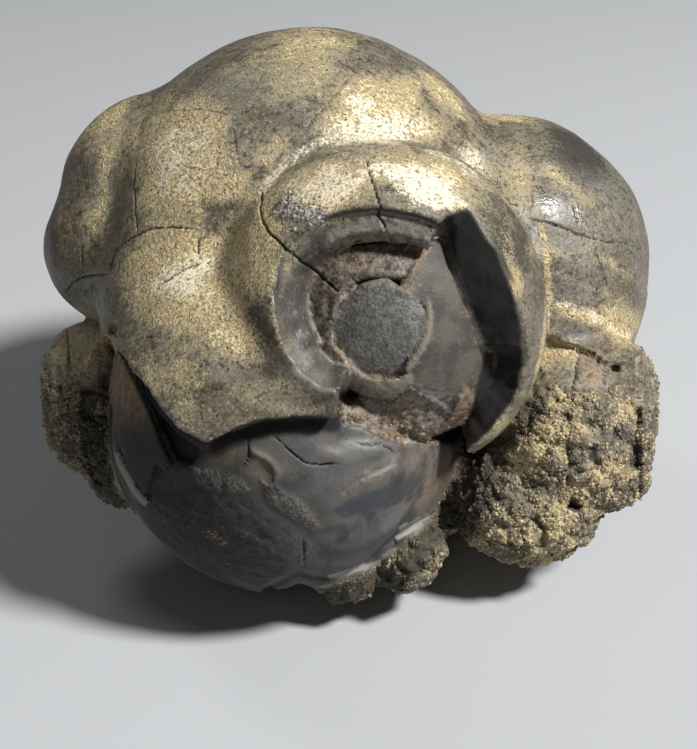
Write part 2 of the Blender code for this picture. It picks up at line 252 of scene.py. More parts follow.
SHELL_SLIVER = (
    (114, 451), (121, 453), (129, 470), (138, 487), (149, 500), (146, 507), (134, 495), (122, 473),
)  # fmt: skip
DARK_SLOT = (
    (122, 352), (140, 384), (160, 411), (180, 433), (203, 449), (192, 467), (178, 461), (168, 440),
    (152, 404), (136, 376),
)  # fmt: skip
CHIN_SHELLS = (  # (outline, how far it stands up, in mm)
    (CRESCENT_SHELL, 0.8),
    (SHELL_SLIVER, 0.9),
    (DARK_SLOT, -1.2),
    (RUBBLE_FLOOR, RUBBLE_SUNK),
    (FACET, -1.3),
    *((strip, 0.06) for strip in CRUMB_STRIPS),
)
CHIN_SHADE_START, CHIN_SHADE_END = 190, 420  # the chin is darkest left of the first, across the view
CHIN_SHADE_LEAN, CHIN_SHADE_MIDDLE = 0.35, 500
WARM_SHELL_FOOT = (380, 450)
WRINKLED = (
    (148, 500), (190, 490), (250, 500), (270, 520), (303, 545), (303, 566), (262, 590), (215, 578),
    (170, 545),
)  # fmt: skip

# ---------------------------------------------------------------- cracks: (line, width and depth in mm)
CRACKS = (
    (((366, 156), (369, 171), (373, 184), (378, 197), (379.5, 217), (384, 224), (387, 231)), 0.3, 0.7),
    (((262, 192), (260, 208), (262, 222), (269, 233), (287, 250), (303, 262), (315, 271), (329, 284),
        (338, 292)), 0.32, 0.8),
    (((331, 55), (344, 65), (355, 72), (343, 85), (328, 104), (311, 122), (299, 139)), 0.22, 0.3),
    (((411, 64), (423, 83), (425, 102), (411, 119), (404, 133), (408, 144), (422, 158)), 0.2, 0.25),
    (((164, 112), (193, 109), (217, 112), (231, 116), (246, 112), (258, 106)), 0.18, 0.22),
    (((231, 116), (234, 134), (237, 156), (241, 167), (263, 167)), 0.18, 0.22),
    (((138, 235), (135, 210), (134, 187), (136, 160)), 0.22, 0.3),
    (((111, 273), (113, 258), (119, 247), (136, 235), (152, 229), (172, 227), (197, 230)), 0.26, 0.4),
    (((200, 230), (198, 247), (200, 260)), 0.26, 0.4),
    (((206, 260), (183, 270), (165, 282), (154, 290)), 0.22, 0.3),
    (((111, 274), (91, 275), (79, 278), (70, 285), (66, 293)), 0.24, 0.4),
    (((80, 241), (84, 274)), 0.19, 0.25),
    (((528, 219), (554, 224), (576, 234), (604, 242), (626, 243), (642, 249)), 0.26, 0.45),
    (((592, 239), (601, 265), (610, 293)), 0.2, 0.3),
    (((512, 164), (528, 156), (545, 154), (557, 167), (570, 187), (576, 215), (581, 234)), 0.19, 0.25),
    (((530, 159), (534, 184), (529, 215)), 0.19, 0.25),
    (((581, 350), (577, 365), (575, 378), (571, 397)), 0.3, 0.6),
    (((605, 364), (605, 377), (604, 391)), 0.26, 0.5),
    (((594, 399), (595, 412)), 0.26, 0.4),
    (((125, 345), (140, 339), (161, 337)), 0.19, 0.22),
    (((248, 434), (248, 452), (247, 461), (241, 470)), 0.26, 0.4),
    (((271, 433), (284, 445), (295, 455), (305, 463), (323, 465), (340, 464)), 0.3, 0.45),
    (((356, 443), (368, 445), (381, 444), (390, 449), (395, 455)), 0.28, 0.42),
    (((304, 538), (303, 549), (305, 567)), 0.26, 0.4),
    (((438, 446), (436, 455), (431, 461)), 0.22, 0.3),
    (((67, 322), (68, 345), (71, 372)), 0.29, 0.4),
    (((255, 252), (262, 244), (270, 236)), 0.17, 0.2),
    (((365, 247), (366, 262), (369, 276)), 0.17, 0.2),
    (((398, 530), (394, 538), (396, 545)), 0.36, 0.6),
    (((381, 556), (383, 565)), 0.32, 0.5),
)  # fmt: skip
CRACK_WANDER = (1.1, 1.6, 51)
CRACK_REACH = 20  # how far from a crack its distance is worked out, in view pixels
CRACK_TAPER, CRACK_END = 14.0, 0.35  # how long its ends are, and the share of its depth that they start with
HIDDEN_CRACK_SIZE = 17.0  # how far apart the hidden side's fine cracks are, in mm

# ---------------------------------------------------------------- the mesh
COARSE, CLOSE, FINE = 9.0, 4.5, 1.6  # how soft the relief's edges are, step by step, in view pixels
GRID_STEP = 1.0
HIDDEN_KEPT = 0.42  # the share of the hidden side's faces kept
BAND = 3.0  # how far from the surface the field is kept
TRIANGLE_LIMIT = 198_000
HIDDEN_EDGE, HIDDEN_ROUGH_EDGE, FRONT_EDGE, ROUGH_EDGE = 1.6, 0.9, 0.5, 0.36
CHIN_EDGE, HOLE_EDGE, FINE_EDGE, CRACK_EDGE = 0.42, 0.3, 0.2, 0.15
BEND_EDGE, BEND_LIMIT = 0.26, 0.2
FINE_RELIEF = 0.12  # where the soft relief leaves out more than this, in mm, the edges are fine
EDGE_EXCESS, NEW_TRIANGLES = 1.35, 2.02  # an edge is split past this share, which adds this many triangles
NODES_AT_ONCE = 200_000
SLOPE_STEP, LEAST_SLOPE = 0.05, 0.3
LEAST_FACING, SIGHT_REACH = -0.05, 150.0
FRONT_DEPTH = 20.0  # what is painted in the main view ends this far along it, in mm

# ---------------------------------------------------------------- knobs, crumbs and grain, in mm
LATTICE_VALUES = 4096  # a power of two
WAVE_SCALE = 1.6  # brings waves to about -1 to 1
KNOB_WARP = (0.5, 2.5)  # how far the knobs are pushed about, and over what size
KNOB_SIZES = ((3.4, 0.8), (1.6, 0.45), (0.85, 0.25))  # (how far apart, how high)
PIT_SIZE, PIT_DEPTH = 2.3, 0.5
CRUMB_SIZES, CRUMB_SUNK = (0.12, 0.38), 0.08
FRONT_CRUMBS, BACK_CRUMBS = 5.5, 2.2  # to a square millimetre
CRUMBS_FROM = 0.6  # above the ground
SILVER_CRUMBS, LEAST_SILVER = 0.55, 0.1
HOLLOW_REACH = 3.0  # how far out a place is felt to be hollow
LAYER_WANDER, LAYER_THICKNESS = 0.8, 0.38  # of the stone's growth layers


# ---------------------------------------------------------------- what lies where, in the main view
SMOOTH_PATCHES = (
    ((44, 345), (50, 325), (75, 316), (108, 320), (108, 372), (92, 388), (62, 386), (47, 370)),
    ((535, 325), (560, 300), (640, 340), (652, 400), (640, 412), (618, 385), (600, 392), (570, 392),
        (545, 380)),
)
# (place, radii, turn, amount)
PATCHES = {
    "dust_and_painted_light": (
        ((180, 155), (50, 52), 0, 0.95),
        ((212, 128), (26, 20), 20, 0.55),
        ((225, 185), (30, 22), -20, 0.75),
        ((270, 150), (24, 14), -30, 0.6),
        ((190, 262), (50, 30), -15, 0.75),
        ((205, 300), (60, 34), -15, 0.8),
        ((100, 122), (40, 24), -40, 0.65),
        ((110, 150), (14, 40), 12, 0.5),
        ((100, 215), (16, 40), 15, 0.3),
        ((165, 265), (60, 46), -20, 0.6),
        ((300, 60), (60, 34), -8, 0.4),
        ((250, 140), (30, 30), 0, 0.35),
        ((560, 352), (22, 14), 10, 0.7),
        # painted light: lifts the lumps below the nose out of the nose's shadow
        ((520, 442), (30, 26), 0, 1.0),
        ((575, 500), (40, 20), -20, 0.5),
        ((380, 112), (38, 36), -20, 0.95),
        ((405, 85), (24, 14), 0, 0.8),
        ((425, 125), (18, 18), 0, 0.55),
        ((440, 90), (40, 10), 42, 0.7),
        ((310, 46), (60, 8), -8, 0.55),
        ((505, 116), (30, 8), 8, 0.75),
        ((325, 184), (54, 22), -12, 0.75),
        ((420, 170), (50, 18), 14, 0.6),
        ((250, 255), (34, 55), 10, 0.85),
        ((260, 205), (16, 26), 20, 0.7),
        ((505, 250), (10, 20), -18, 0.5),
        ((512, 280), (9, 18), -8, 0.7),
        ((515, 185), (24, 40), 0, 0.5),
        ((545, 250), (34, 9), 5, 0.5),
        ((556, 176), (26, 6), 35, 0.45),
        ((616, 268), (26, 7), 30, 0.45),
        ((622, 322), (34, 20), 25, 0.7),
        ((580, 316), (30, 8), 15, 0.7),
        ((238, 326), (42, 27), 38, 0.78),
        ((268, 395), (50, 18), 0, 0.34),
        ((165, 365), (50, 50), 0, 0.32),
        ((548, 398), (26, 14), 0, 0.7),
        ((575, 428), (18, 12), 0, 0.6),
        ((630, 411), (12, 14), 0, 0.6),
        ((611, 472), (20, 14), 0, 0.8),
        ((520, 440), (24, 18), 0, 0.5),
        ((520, 530), (70, 20), -8, 0.55),
        ((545, 555), (40, 14), -20, 0.6),
        ((376, 585), (16, 9), 0, 0.3),
        ((75, 345), (34, 32), 0, 0.5),
    ),
    "cream": (
        ((335, 184), (36, 17), -14, 0.95),
        ((300, 184), (18, 12), -20, 0.6),
        ((390, 172), (24, 14), 10, 0.85),
        ((425, 186), (34, 22), 24, 0.95),
        ((445, 205), (24, 8), 0, 0.9),
        ((375, 132), (52, 20), -4, 0.9),
        ((360, 105), (18, 22), -20, 0.6),
        ((470, 160), (26, 14), 45, 0.7),
        ((600, 320), (34, 8), 22, 0.55),
        ((180, 155), (44, 46), 10, 0.58),
        ((225, 185), (22, 16), -20, 0.35),
        ((235, 330), (40, 26), 30, 0.35),
        ((190, 275), (56, 26), -20, 0.62),
    ),
    "orange": (
        ((402, 82), (20, 12), 0, 0.9),
        ((312, 178), (24, 8), -12, 0.7),
        ((335, 190), (30, 20), 0, 0.4),
        ((290, 100), (30, 20), 0, 0.25),
        ((512, 278), (8, 20), -8, 0.9),
        ((520, 108), (26, 6), 8, 0.6),
        ((600, 312), (34, 10), 22, 0.4),
        ((225, 150), (80, 60), 0, 0.25),
    ),
    "rust": (
        ((428, 248), (9, 22), 30, 0.6),
        ((410, 284), (14, 10), 0, 0.5),
        ((355, 250), (30, 14), 0, 0.45),
        ((322, 262), (14, 20), 0, 0.35),
        ((318, 275), (5, 5), 0, 0.95),
        ((337, 352), (8, 8), 40, 0.8),
        ((352, 410), (16, 14), 0, 0.6),
        ((345, 412), (7, 10), 0, 0.7),
        ((398, 436), (20, 4), 12, 0.8),
        ((425, 438), (18, 4), 0, 0.9),
        ((490, 358), (8, 7), 0, 0.9),
        ((462, 310), (6, 22), -18, 0.4),
        ((380, 372), (30, 8), 0, 0.55),
        ((385, 400), (30, 14), 0, 0.35),
        ((390, 415), (56, 26), 8, 0.38),
        ((368, 585), (14, 7), 0, 0.9),
        ((205, 535), (60, 38), 20, 0.27),
        ((300, 560), (50, 18), 0, 0.24),
        ((180, 480), (34, 24), 0, 0.20),
        ((217, 540), (14, 4), 45, 0.6),
    ),
    "warm": (
        ((593, 372), (13, 22), 0, 1.0),
        ((560, 355), (14, 20), 0, 0.3),
        ((445, 485), (20, 34), 20, 0.6),
        ((262, 463), (16, 18), 0, 0.35),
        ((225, 452), (18, 12), 0, 0.35),
        ((420, 455), (26, 14), -20, 0.3),
        ((380, 470), (40, 8), -25, 0.25),
    ),
    "cool": (
        ((330, 545), (50, 8), -10, 0.6),
        ((290, 90), (28, 22), 0, 0.6),
        ((585, 160), (14, 60), -30, 0.9),
        ((610, 165), (12, 40), -20, 0.5),
        ((440, 105), (14, 26), 0, 0.35),
        ((345, 70), (40, 14), 0, 0.3),
        ((100, 180), (12, 50), 0, 0.3),
    ),
    "silver": (((298, 210), (22, 13), 18, 1.0), ((322, 212), (8, 8), 0, 0.6)),
    "gloss": (((552, 205), (13, 12), 0, 1.0), ((578, 212), (4, 16), -15, 1.0)),
    # dark patches: partly the skin's own darker tone, partly painted shade in the hole's pit, the crease by
    # the core, on the hole's right wall, under the flap's edge and on the chin's lower left
    "soil_and_shade": (
        ((262, 330), (16, 40), -14, 0.6),
        ((272, 368), (14, 18), -30, 0.5),
        ((230, 232), (6, 26), 28, 0.35),
        ((128, 180), (7, 60), -6, 0.3),
        ((85, 292), (30, 10), 0, 0.5),
        ((348, 393), (14, 9), 20, 0.9),
        ((520, 430), (50, 12), -30, 0.4),
        ((365, 147), (36, 5), 4, 0.5),
        ((345, 335), (14, 26), 20, 0.3),
        ((508, 228), (24, 62), -20, 0.56),
        ((534, 300), (13, 50), 4, 0.36),
        ((580, 148), (46, 26), 30, 0.66),
        ((620, 220), (30, 60), -20, 0.16),
        ((565, 280), (30, 30), 0, 0.32),
        ((438, 118), (12, 22), -20, 0.28),
        ((300, 399), (46, 10), 5, 0.50),
        ((258, 362), (22, 30), 0, 0.38),
        ((215, 402), (30, 12), 0, 0.30),
        ((300, 118), (18, 24), -30, 0.24),
        ((120, 205), (10, 60), -4, 0.24),
        ((85, 435), (34, 44), 0, 0.60),
        ((425, 552), (50, 34), -30, 0.20),
        ((72, 270), (30, 40), 0, 0.2),
    ),
}
BLUE_BANDS = (
    ((330, 511), (345, 502), (360, 496), (385, 487), (400, 489), (411, 481), (420, 476), (422, 481),
        (412, 491), (398, 500), (376, 510), (345, 518)),
    ((318, 552), (345, 551), (372, 541), (398, 524), (392, 534), (374, 549), (345, 559), (322, 560)),
)
# (zone, half width in view pixels, amount, line, line, ...)
STREAKS = (
    ("cream", 7.0, 0.62, ((262, 190), (280, 168), (300, 152), (325, 140), (345, 133), (365, 137))),
    ("cream", 9.0, 0.45, ((430, 150), (460, 164), (490, 190), (500, 206))),
    ("cream", 7.0, 0.6, ((560, 304), (588, 312), (613, 326), (640, 345))),
    ("dust_and_painted_light", 5.0, 0.8, ((541, 225), (548, 262), (549, 300), (545, 345), (535, 385))),
    # painted shade along the hole's top wall
    ("riser", 4.5, 1.0, ((323, 220), (348, 212.5), (375, 209.5), (396, 211.5), (417, 215.5), (438, 223))),
    ("pale", 12.0, 0.4, ((335, 236), (355, 229), (380, 225), (405, 227), (430, 235))),
    ("rust", 6.0, 0.5, ((444, 226), (432, 245), (420, 262), (410, 276), (402, 287))),
    ("ridge", 8.0, 1.0, RIDGE_BAND),
    ("ridge", 3.6, 1.0, THIN_RIDGE),
    ("pale", 2.6, 1.0, ((411, 382), (424, 389), (434, 393), (448, 394), (463, 397))),
    ("pale", 2.6, 1.0, ((424, 389), (438, 401), (452, 413))),
    ("pale", 4.0, 0.9, ((497, 372), (498, 385), (497, 400), (491, 415), (485, 424))),
    # painted highlight along the rim's lower left edge
    ("pale", 3.6, 1.0, ((291, 368), (298, 376), (306, 382), (315, 388), (325, 391), (333, 390))),
    ("pale", 3.6, 1.0, ((404, 441), (425, 441), (447, 438))),
    ("pale", 4.0, 1.0, ((401, 529), (414, 523), (428, 516)), ((398, 538), (408, 532), (420, 525))),
    ("pale", 4.0, 1.0, ((366, 568), (380, 561)), ((382, 557), (394, 550))),
    ("pale", 4.0, 1.0, ((330, 577), (348, 573), (364, 566))),
    # painted sheen on the chin's upper middle
    ("pale", 16.0, 0.22, ((340, 455), (360, 449), (388, 450))),
    # painted light on the lower end of the hole's left wall
    ("pale", 16.0, 0.30, ((291, 352), (303, 370), (322, 382))),
    ("pale", 4.0, 0.5, ((366, 472), (374, 473), (381, 470), (390, 463), (397, 455))),
)
PATCH_WANDER, STREAK_WANDER = (5.0, 3.0, 81), (1.5, 1.2, 84)
DUST_UNEVENNESS, BACK_DUST_UNEVENNESS = (12.0, 83), (16.0, 86)  # wave size in mm, seed

# ---------------------------------------------------------------- colours
SKIN_DARK = (0.032, 0.027, 0.020, 1)
SKIN_BROWN = (0.098, 0.078, 0.050, 1)
SKIN_GREY = (0.165, 0.146, 0.108, 1)
SKIN_BLUE = (0.080, 0.087, 0.084, 1)
SKIN_LIGHT = (0.36, 0.31, 0.215, 1)
FILM = (0.56, 0.46, 0.26, 1)
CHIN_DARK = (0.024, 0.025, 0.025, 1)
CHIN_GREY = (0.102, 0.100, 0.095, 1)
CHIN_BROWN = (0.120, 0.098, 0.075, 1)
CHIN_SHADE = (0.014, 0.0145, 0.014, 1)
CHIN_BLUE = (0.028, 0.032, 0.039, 1)
HOLE_DARK = (0.038, 0.030, 0.023, 1)
HOLE_BROWN = (0.185, 0.152, 0.115, 1)
CORE_DARK = (0.078, 0.075, 0.067, 1)
CORE_GREY = (0.175, 0.166, 0.147, 1)
PLATE_DARK = (0.043, 0.041, 0.036, 1)
PLATE_BROWN = (0.086, 0.074, 0.056, 1)
WALL_DARK = (0.038, 0.035, 0.029, 1)
WALL_GREY = (0.058, 0.054, 0.045, 1)
WARM_DARK = (0.130, 0.088, 0.052, 1)
WARM = (0.25, 0.165, 0.095, 1)
TAN_DARK = (0.28, 0.22, 0.128, 1)
TAN = (0.66, 0.525, 0.275, 1)
TAN_ORANGE = (0.43, 0.285, 0.125, 1)
CREAM = (0.78, 0.72, 0.55, 1)
RUST_DARK = (0.100, 0.060, 0.034, 1)
RUST = (0.30, 0.18, 0.085, 1)
CRUST_GREY = (0.115, 0.103, 0.080, 1)
# pale broken edges, and painted highlights
PALE_EDGE_AND_HIGHLIGHT = (0.25, 0.235, 0.205, 1)
RIDGE_TAN = (0.20, 0.168, 0.118, 1)
SILVER = (0.42, 0.39, 0.38, 1)
GRAIN_DARK = (0.085, 0.070, 0.050, 1)
GRAIN_BROWN = (0.50, 0.41, 0.27, 1)
# near black: painted shade, and the dark of cracks and soil
SHADE_AND_SOIL_BLACK = (0.007, 0.006, 0.005, 1)

# ---------------------------------------------------------------- the light
STONE_MIDDLE = (0.0, 0.0, 0.037)
LIGHTS = (  # (name, place, size, power)
    ("key", (0.55, -0.30, 0.78), 0.15, 16.5),
    ("back_left", (-0.45, 0.4, 0.75), 0.3, 1.4),
    ("fill", (-0.2, -0.8, 0.5), 0.7, 0.35),
)


# ================================================================ numbers on points
def smooth_step(low, high, value):
    t = np.clip((value - low) / (high - low), 0.0, 1.0)
    return t * t * (3.0 - 2.0 * t)


def between(low, high, edge, value):
    """1 from low to high, falling to 0 within edge outside them."""
    return smooth_step(low - edge, low, value) * smooth_step(high + edge, high, value)


def smooth_least(a, b, softness):
    """The lesser of two distances, with a fillet where they are alike."""
    if softness <= 0:
        return np.minimum(a, b)
    near = np.maximum(softness - np.abs(a - b), 0.0) / softness
    return np.minimum(a, b) - near * near * softness * 0.25


def away_from(points, centre):
    return np.linalg.norm(points - centre, axis=1)


def ball_distance(points, centre, radius):
    offset = points - np.asarray(centre)
    if np.isscalar(radius):
        return np.linalg.norm(offset, axis=-1) - radius
    radii = np.asarray(radius)
    scaled = np.linalg.norm(offset / radii, axis=-1)
    slope = np.linalg.norm(offset / radii**2, axis=-1)
    return scaled * (scaled - 1.0) / np.maximum(slope, 1e-9)


def from_segment(points, start, end):
    """The way from a segment's nearest place to each point, and how far along the segment that place is."""
    along = end - start
    from_start = points - start
    share = np.clip((from_start @ along) / (along @ along), 0.0, 1.0)
    return from_start - share[:, None] * along, share


def line_distance(spots, line):
    """From each spot to a line through several corners."""
    corners = np.asarray(line, float)
    nearest = np.full(len(spots), 1e18)
    for start, end in zip(corners, corners[1:]):
        gap, _ = from_segment(spots, start, end)
        nearest = np.minimum(nearest, (gap * gap).sum(axis=1))
    return np.sqrt(nearest)


def outline_distance(spots, outline):
    """From each spot to a closed outline, negative inside it."""
    corners = np.asarray(outline, float)
    nearest = line_distance(spots, np.vstack((corners, corners[:1])))
    inside = np.zeros(len(spots), bool)
    for (x1, y1), (x2, y2) in zip(corners, np.roll(corners, -1, axis=0)):
        if y1 == y2:
            continue
        crosses = (y1 > spots[:, 1]) != (y2 > spots[:, 1])
        inside ^= crosses & (spots[:, 0] < x1 + (spots[:, 1] - y1) * (x2 - x1) / (y2 - y1))
    return np.where(inside, -nearest, nearest)


def within(spots, outline, softness=2.0):
    """1 inside an outline and 0 outside it, with a soft edge."""
    return smooth_step(softness / 2, -softness / 2, outline_distance(spots, outline))


def most(spots, outlines, softness):
    """1 inside any of several outlines."""
    return np.maximum.reduce([within(spots, outline, softness) for outline in outlines])


def below_line(spots, line):
    """How far each spot is below a line that runs from left to right, negative above it or past its ends."""
    corners = np.asarray(line, float)
    height = np.interp(spots[:, 0], corners[:, 0], corners[:, 1])
    side = np.sign(spots[:, 1] - height)
    off_the_ends = (spots[:, 0] < corners[0, 0]) | (spots[:, 0] > corners[-1, 0])
    return np.where(off_the_ends & (side > 0), PAST_THE_ENDS, side * line_distance(spots, line))


def blob(spots, place, radii, turn=0.0):
    """A soft spot of height 1, with these radii, turned by so many degrees."""
    x, y = (spots - np.asarray(place, float)).T
    c, s = math.cos(math.radians(turn)), math.sin(math.radians(turn))
    across, along = (x * c + y * s) / radii[0], (y * c - x * s) / radii[1]
    return np.exp(-(across**2 + along**2))


def profile(place, table, softness):
    """Heights read from a table of (place, height), with its corners rounded."""
    places, heights = np.transpose(table)
    shifts = (-0.45, -0.15, 0.15, 0.45)
    return sum(np.interp(place + shift * softness, places, heights) for shift in shifts) / len(shifts)


# ================================================================ randomness on points
def lattice_key(cell):
    mixed = (cell[:, 0] * 73856093) ^ (cell[:, 1] * 19349663) ^ (cell[:, 2] * 83492791)
    return mixed & (LATTICE_VALUES - 1)


@functools.lru_cache(maxsize=None)
def random_slopes(seed):
    slopes = np.random.default_rng(seed).normal(size=(LATTICE_VALUES, 3))
    return slopes / np.linalg.norm(slopes, axis=1, keepdims=True)


@functools.lru_cache(maxsize=None)
def random_corners(seed):
    return np.random.default_rng(seed).uniform(0.05, 0.95, size=(LATTICE_VALUES, 3))


def waves(points, size, seed):
    """Smooth random waves from about -1 to 1, with humps about this size."""
    slopes = random_slopes(seed)
    scaled = points / size
    cell = np.floor(scaled).astype(np.int64)
    inside = scaled - cell
    ease = inside**3 * (inside * (inside * 6 - 15) + 10)
    total = np.zeros(len(points))
    for corner in itertools.product((0, 1), repeat=3):
        slope = slopes[lattice_key(cell + corner)]
        height = np.einsum("ij,ij->i", slope, inside - corner)
        weights = [ease[:, axis] if corner[axis] else 1 - ease[:, axis] for axis in range(3)]
        total += height * weights[0] * weights[1] * weights[2]
    return total * WAVE_SCALE


def layered_waves(points, size, seed, layers=3):
    total = np.zeros(len(points))
    for layer in range(layers):
        total += waves(points, size / 2**layer, seed + layer) / 2**layer
    return total


def seeds_near(points, size, seed):
    """How far the nearest and the next scattered seed are, in spacings."""
    jitter = random_corners(seed)
    scaled = points / size
    home = np.floor(scaled).astype(np.int64)
    first, second = np.full(len(points), 9.0), np.full(len(points), 9.0)
    for step in itertools.product((-1, 0, 1), repeat=3):
        cell = home + step
        gap = scaled - cell - jitter[lattice_key(cell)]
        distance = np.sqrt((gap * gap).sum(axis=1))
        second = np.minimum(second, np.maximum(first, distance))
        first = np.minimum(first, distance)
    return first, second


def beads(points, size, seed):
    """Small rounded grains side by side, from 0 between them to 1."""
    first, _ = seeds_near(points, size, seed)
    return np.sqrt(np.maximum(1 - (first / 0.7) ** 2, 0))


def wandering(spots, points, amount, size, seed):
    """The spots moved a little to and fro, so that what is drawn on them has no straight edge."""
    return spots + amount * np.stack((waves(points, size, seed), waves(points, size, seed + 1)), axis=1)


# ================================================================ the main view
def in_view(points):
    """Where each point shows in the main view, and its distance along the view."""
    offset = points - CAMERA_PLACE
    ahead = np.maximum(offset @ LOOK_AHEAD, 1.0)
    across = VIEW_WIDTH / 2 + FOCAL_LENGTH * (offset @ LOOK_RIGHT) / ahead
    down = VIEW_HEIGHT / 2 - FOCAL_LENGTH * (offset @ LOOK_UP) / ahead
    return np.stack((across, down), axis=1), ahead


def look_through(spot):
    """The direction from the camera through a place in the view."""
    across = (spot[0] - VIEW_WIDTH / 2) / FOCAL_LENGTH
    up = (VIEW_HEIGHT / 2 - spot[1]) / FOCAL_LENGTH
    direction = LOOK_AHEAD + across * LOOK_RIGHT + up * LOOK_UP
    return direction / np.linalg.norm(direction)


def facing_of(points, normals):
    """1 where the surface faces the camera, and -1 where it faces away."""
    directions = points - CAMERA_PLACE
    return -np.einsum("ij,ij->i", normals, directions / np.linalg.norm(directions, axis=1, keepdims=True))


# ================================================================ the broken skin
def ray_outline(points, centre, radius, outline):
    """How far each point is outside an outline drawn on a lobe and carried straight out from its centre."""
    offset = points - centre
    distance = np.maximum(np.linalg.norm(offset, axis=1), 1e-6)
    spots, ahead = in_view(centre + offset * (radius / distance)[:, None])
    gap = outline_distance(spots, outline) * ahead / FOCAL_LENGTH
    return np.where(offset @ LOOK_AHEAD > BACK_SHARE * distance, FAR, gap)


def broken_distance(points, centre, inner, outer, outline):
    """ray_outline near a lobe's skin, and far away elsewhere."""
    distance = away_from(points, centre)
    close = (distance > inner - BAND - 3) & (distance < outer + BAND + 1)
    radius = np.broadcast_to(outer, distance.shape)
    gap = np.full(len(points), FAR)
    gap[close] = ray_outline(points[close], centre, radius[close], outline)
    return gap


def chin_break_distance(points):
    return broken_distance(points, CHIN_CENTRE, CHIN_INNER_RADIUS, CHIN_RADIUS, LOST_CHIN_SKIN)


def nose_skin_radius(points):
    """How far the skin of the nose and its side is from the nose's centre, in each point's direction."""
    offset = points - NOSE_CENTRE
    direction = offset / np.maximum(np.linalg.norm(offset, axis=1, keepdims=True), 1e-6)
    to_side = NOSE_SIDE_CENTRE - NOSE_CENTRE
    along = direction @ to_side
    return np.maximum(NOSE_RADIUS, along + np.sqrt(along**2 - to_side @ to_side + NOSE_SIDE_RADIUS**2))


def hole_distance(points, nose, nose_skin, spots):
    """How far each point is outside the hole, whose right side leans inwards."""
    gap = broken_distance(points, NOSE_CENTRE, NOSE_INNER_RADIUS, nose_skin, HOLE_RIM)
    leaning = smooth_step(*SLANT_START, spots[:, 0]) * smooth_step(*SLANT_FOOT[::-1], spots[:, 1])
    return gap + SIDE_SLANT * leaning * np.clip(nose_skin - nose, 0.0, SLANT_DEPTH)


# ================================================================ the inner layers
def ring_heights(spots, inside_rim, softness):
    """The broken skin's slope on the left and the treads at the top, by how far inside the rim a spot is."""
    across, down = spots.T
    side = profile(inside_rim, SIDE_HEIGHTS, softness)
    treads = profile(inside_rim, TREAD_HEIGHTS, softness)
    treads = treads * smooth_step(*TREADS_END[::-1], across) * smooth_step(*TREADS_FOOT[::-1], down)
    share = smooth_step(TREADS_START, TREADS_FULL, across)
    return side * (1 - share) * smooth_step(*SIDE_FOOT[::-1], down) + treads * share


def laid_over(height, share, level):
    """The height where a plate at this level covers a share of it."""
    return height * (1 - share) + level * share


def hole_heights(points, softness):
    """How far the surface inside the hole stands off the inner ball."""
    spots = wandering(in_view(points)[0], points, *HOLE_WANDER)
    height = ring_heights(spots, -outline_distance(spots, HOLE_RIM), softness)
    core = smooth_step(CORE_SIZE + softness / 2, CORE_SIZE - softness / 2, away_from(spots, CORE_PLACE))
    across_core = spots[:, 0] + 0.5 * (CORE_PLACE[1] - spots[:, 1])
    core_level = CORE_LEFT + (CORE_RIGHT - CORE_LEFT) * smooth_step(*CORE_TILT, across_core)
    height = laid_over(height, core, core_level)
    for line, half_width, depth in GROOVES:
        edge = half_width + 0.3 * softness
        height -= depth * smooth_step(edge, 0.45 * half_width, line_distance(spots, line))
    rubble = RUBBLE_HEIGHT + RUBBLE_RISE * smooth_step(*RUBBLE_SLOPE, spots[:, 1])
    plates = ((RUBBLE_FLOOR, rubble), (WEDGE, WEDGE_HEIGHT), (LAYER_PLATE, 0.0), (FACET, FACET_HEIGHT))
    for outline, level in plates:
        height = laid_over(height, within(spots, outline, softness), level)
    band = line_distance(spots, RIDGE_BAND) / RIDGE_HALF_WIDTH
    on_band = smooth_step(1.0 + 0.06 * softness, 0.8 - 0.06 * softness, band)
    height = laid_over(height, on_band, RIDGE_RISE)
    thin = smooth_step(THIN_RIDGE_HALF_WIDTH + 0.3 * softness, 1.0, line_distance(spots, THIN_RIDGE))
    return height + THIN_RIDGE_RISE * thin


def chin_heights(points, softness):
    """How far the chin's inner layer stands off its ball."""
    spots = wandering(in_view(points)[0], points, *CHIN_WANDER)
    height = CHIN_UNEVENNESS * waves(points, CHIN_HUMP_SIZE, 43)
    for place, radii, turn, rise in CHIN_SWELLS:
        height += rise * blob(spots, place, radii, turn)
    fold_width = CHIN_FOLD_WIDTH + 0.4 * softness
    height += CHIN_FOLD_RISE * np.exp(-((line_distance(spots, CHIN_FOLD) / fold_width) ** 2))
    height -= CHIN_STEP_DROP * between(0.0, 3.0, softness, below_line(spots, CHIN_STEP))
    for outline, rise in CHIN_SHELLS:
        height += rise * within(spots, outline, softness)
    return height + profile(below_line(spots, SEAM), SEAM_STEPS, softness)


def chin_inner_distance(points):
    return away_from(points, CHIN_CENTRE) - CHIN_INNER_RADIUS


def nose_inner_distance(points):
    nose = away_from(points, NOSE_CENTRE) - NOSE_INNER_RADIUS
    side = away_from(points, NOSE_SIDE_CENTRE) - NOSE_SIDE_INNER_RADIUS
    return smooth_least(nose, side, NOSE_INNER_BLEND)


def with_relief(heights, points, distance, centre, softness):
    """The distance to one of the two broken lobes' inner layers, relief and all."""
    close = (np.abs(distance) < RELIEF_REACH) & ((points - centre) @ LOOK_AHEAD < RELIEF_REACH)
    distance = distance.copy()
    distance[close] -= heights(points[close], softness)
    return distance


def inner_layers(points, softness):
    chin = with_relief(chin_heights, points, chin_inner_distance(points), CHIN_CENTRE, softness)
    nose = with_relief(hole_heights, points, nose_inner_distance(points), NOSE_CENTRE, softness)
    return chin, nose


# ================================================================ the stone's shape
def lobes_distance(points, lobes, start=None):
    distance = start
    for centre, radius, softness in lobes.values():
        lobe = ball_distance(points, centre, radius)
        distance = lobe if distance is None else smooth_least(distance, lobe, softness)
    return distance


def all_lobes_distance(points):
    return lobes_distance(points, KNOBBLY_LOBES, lobes_distance(points, SMOOTH_LOBES))


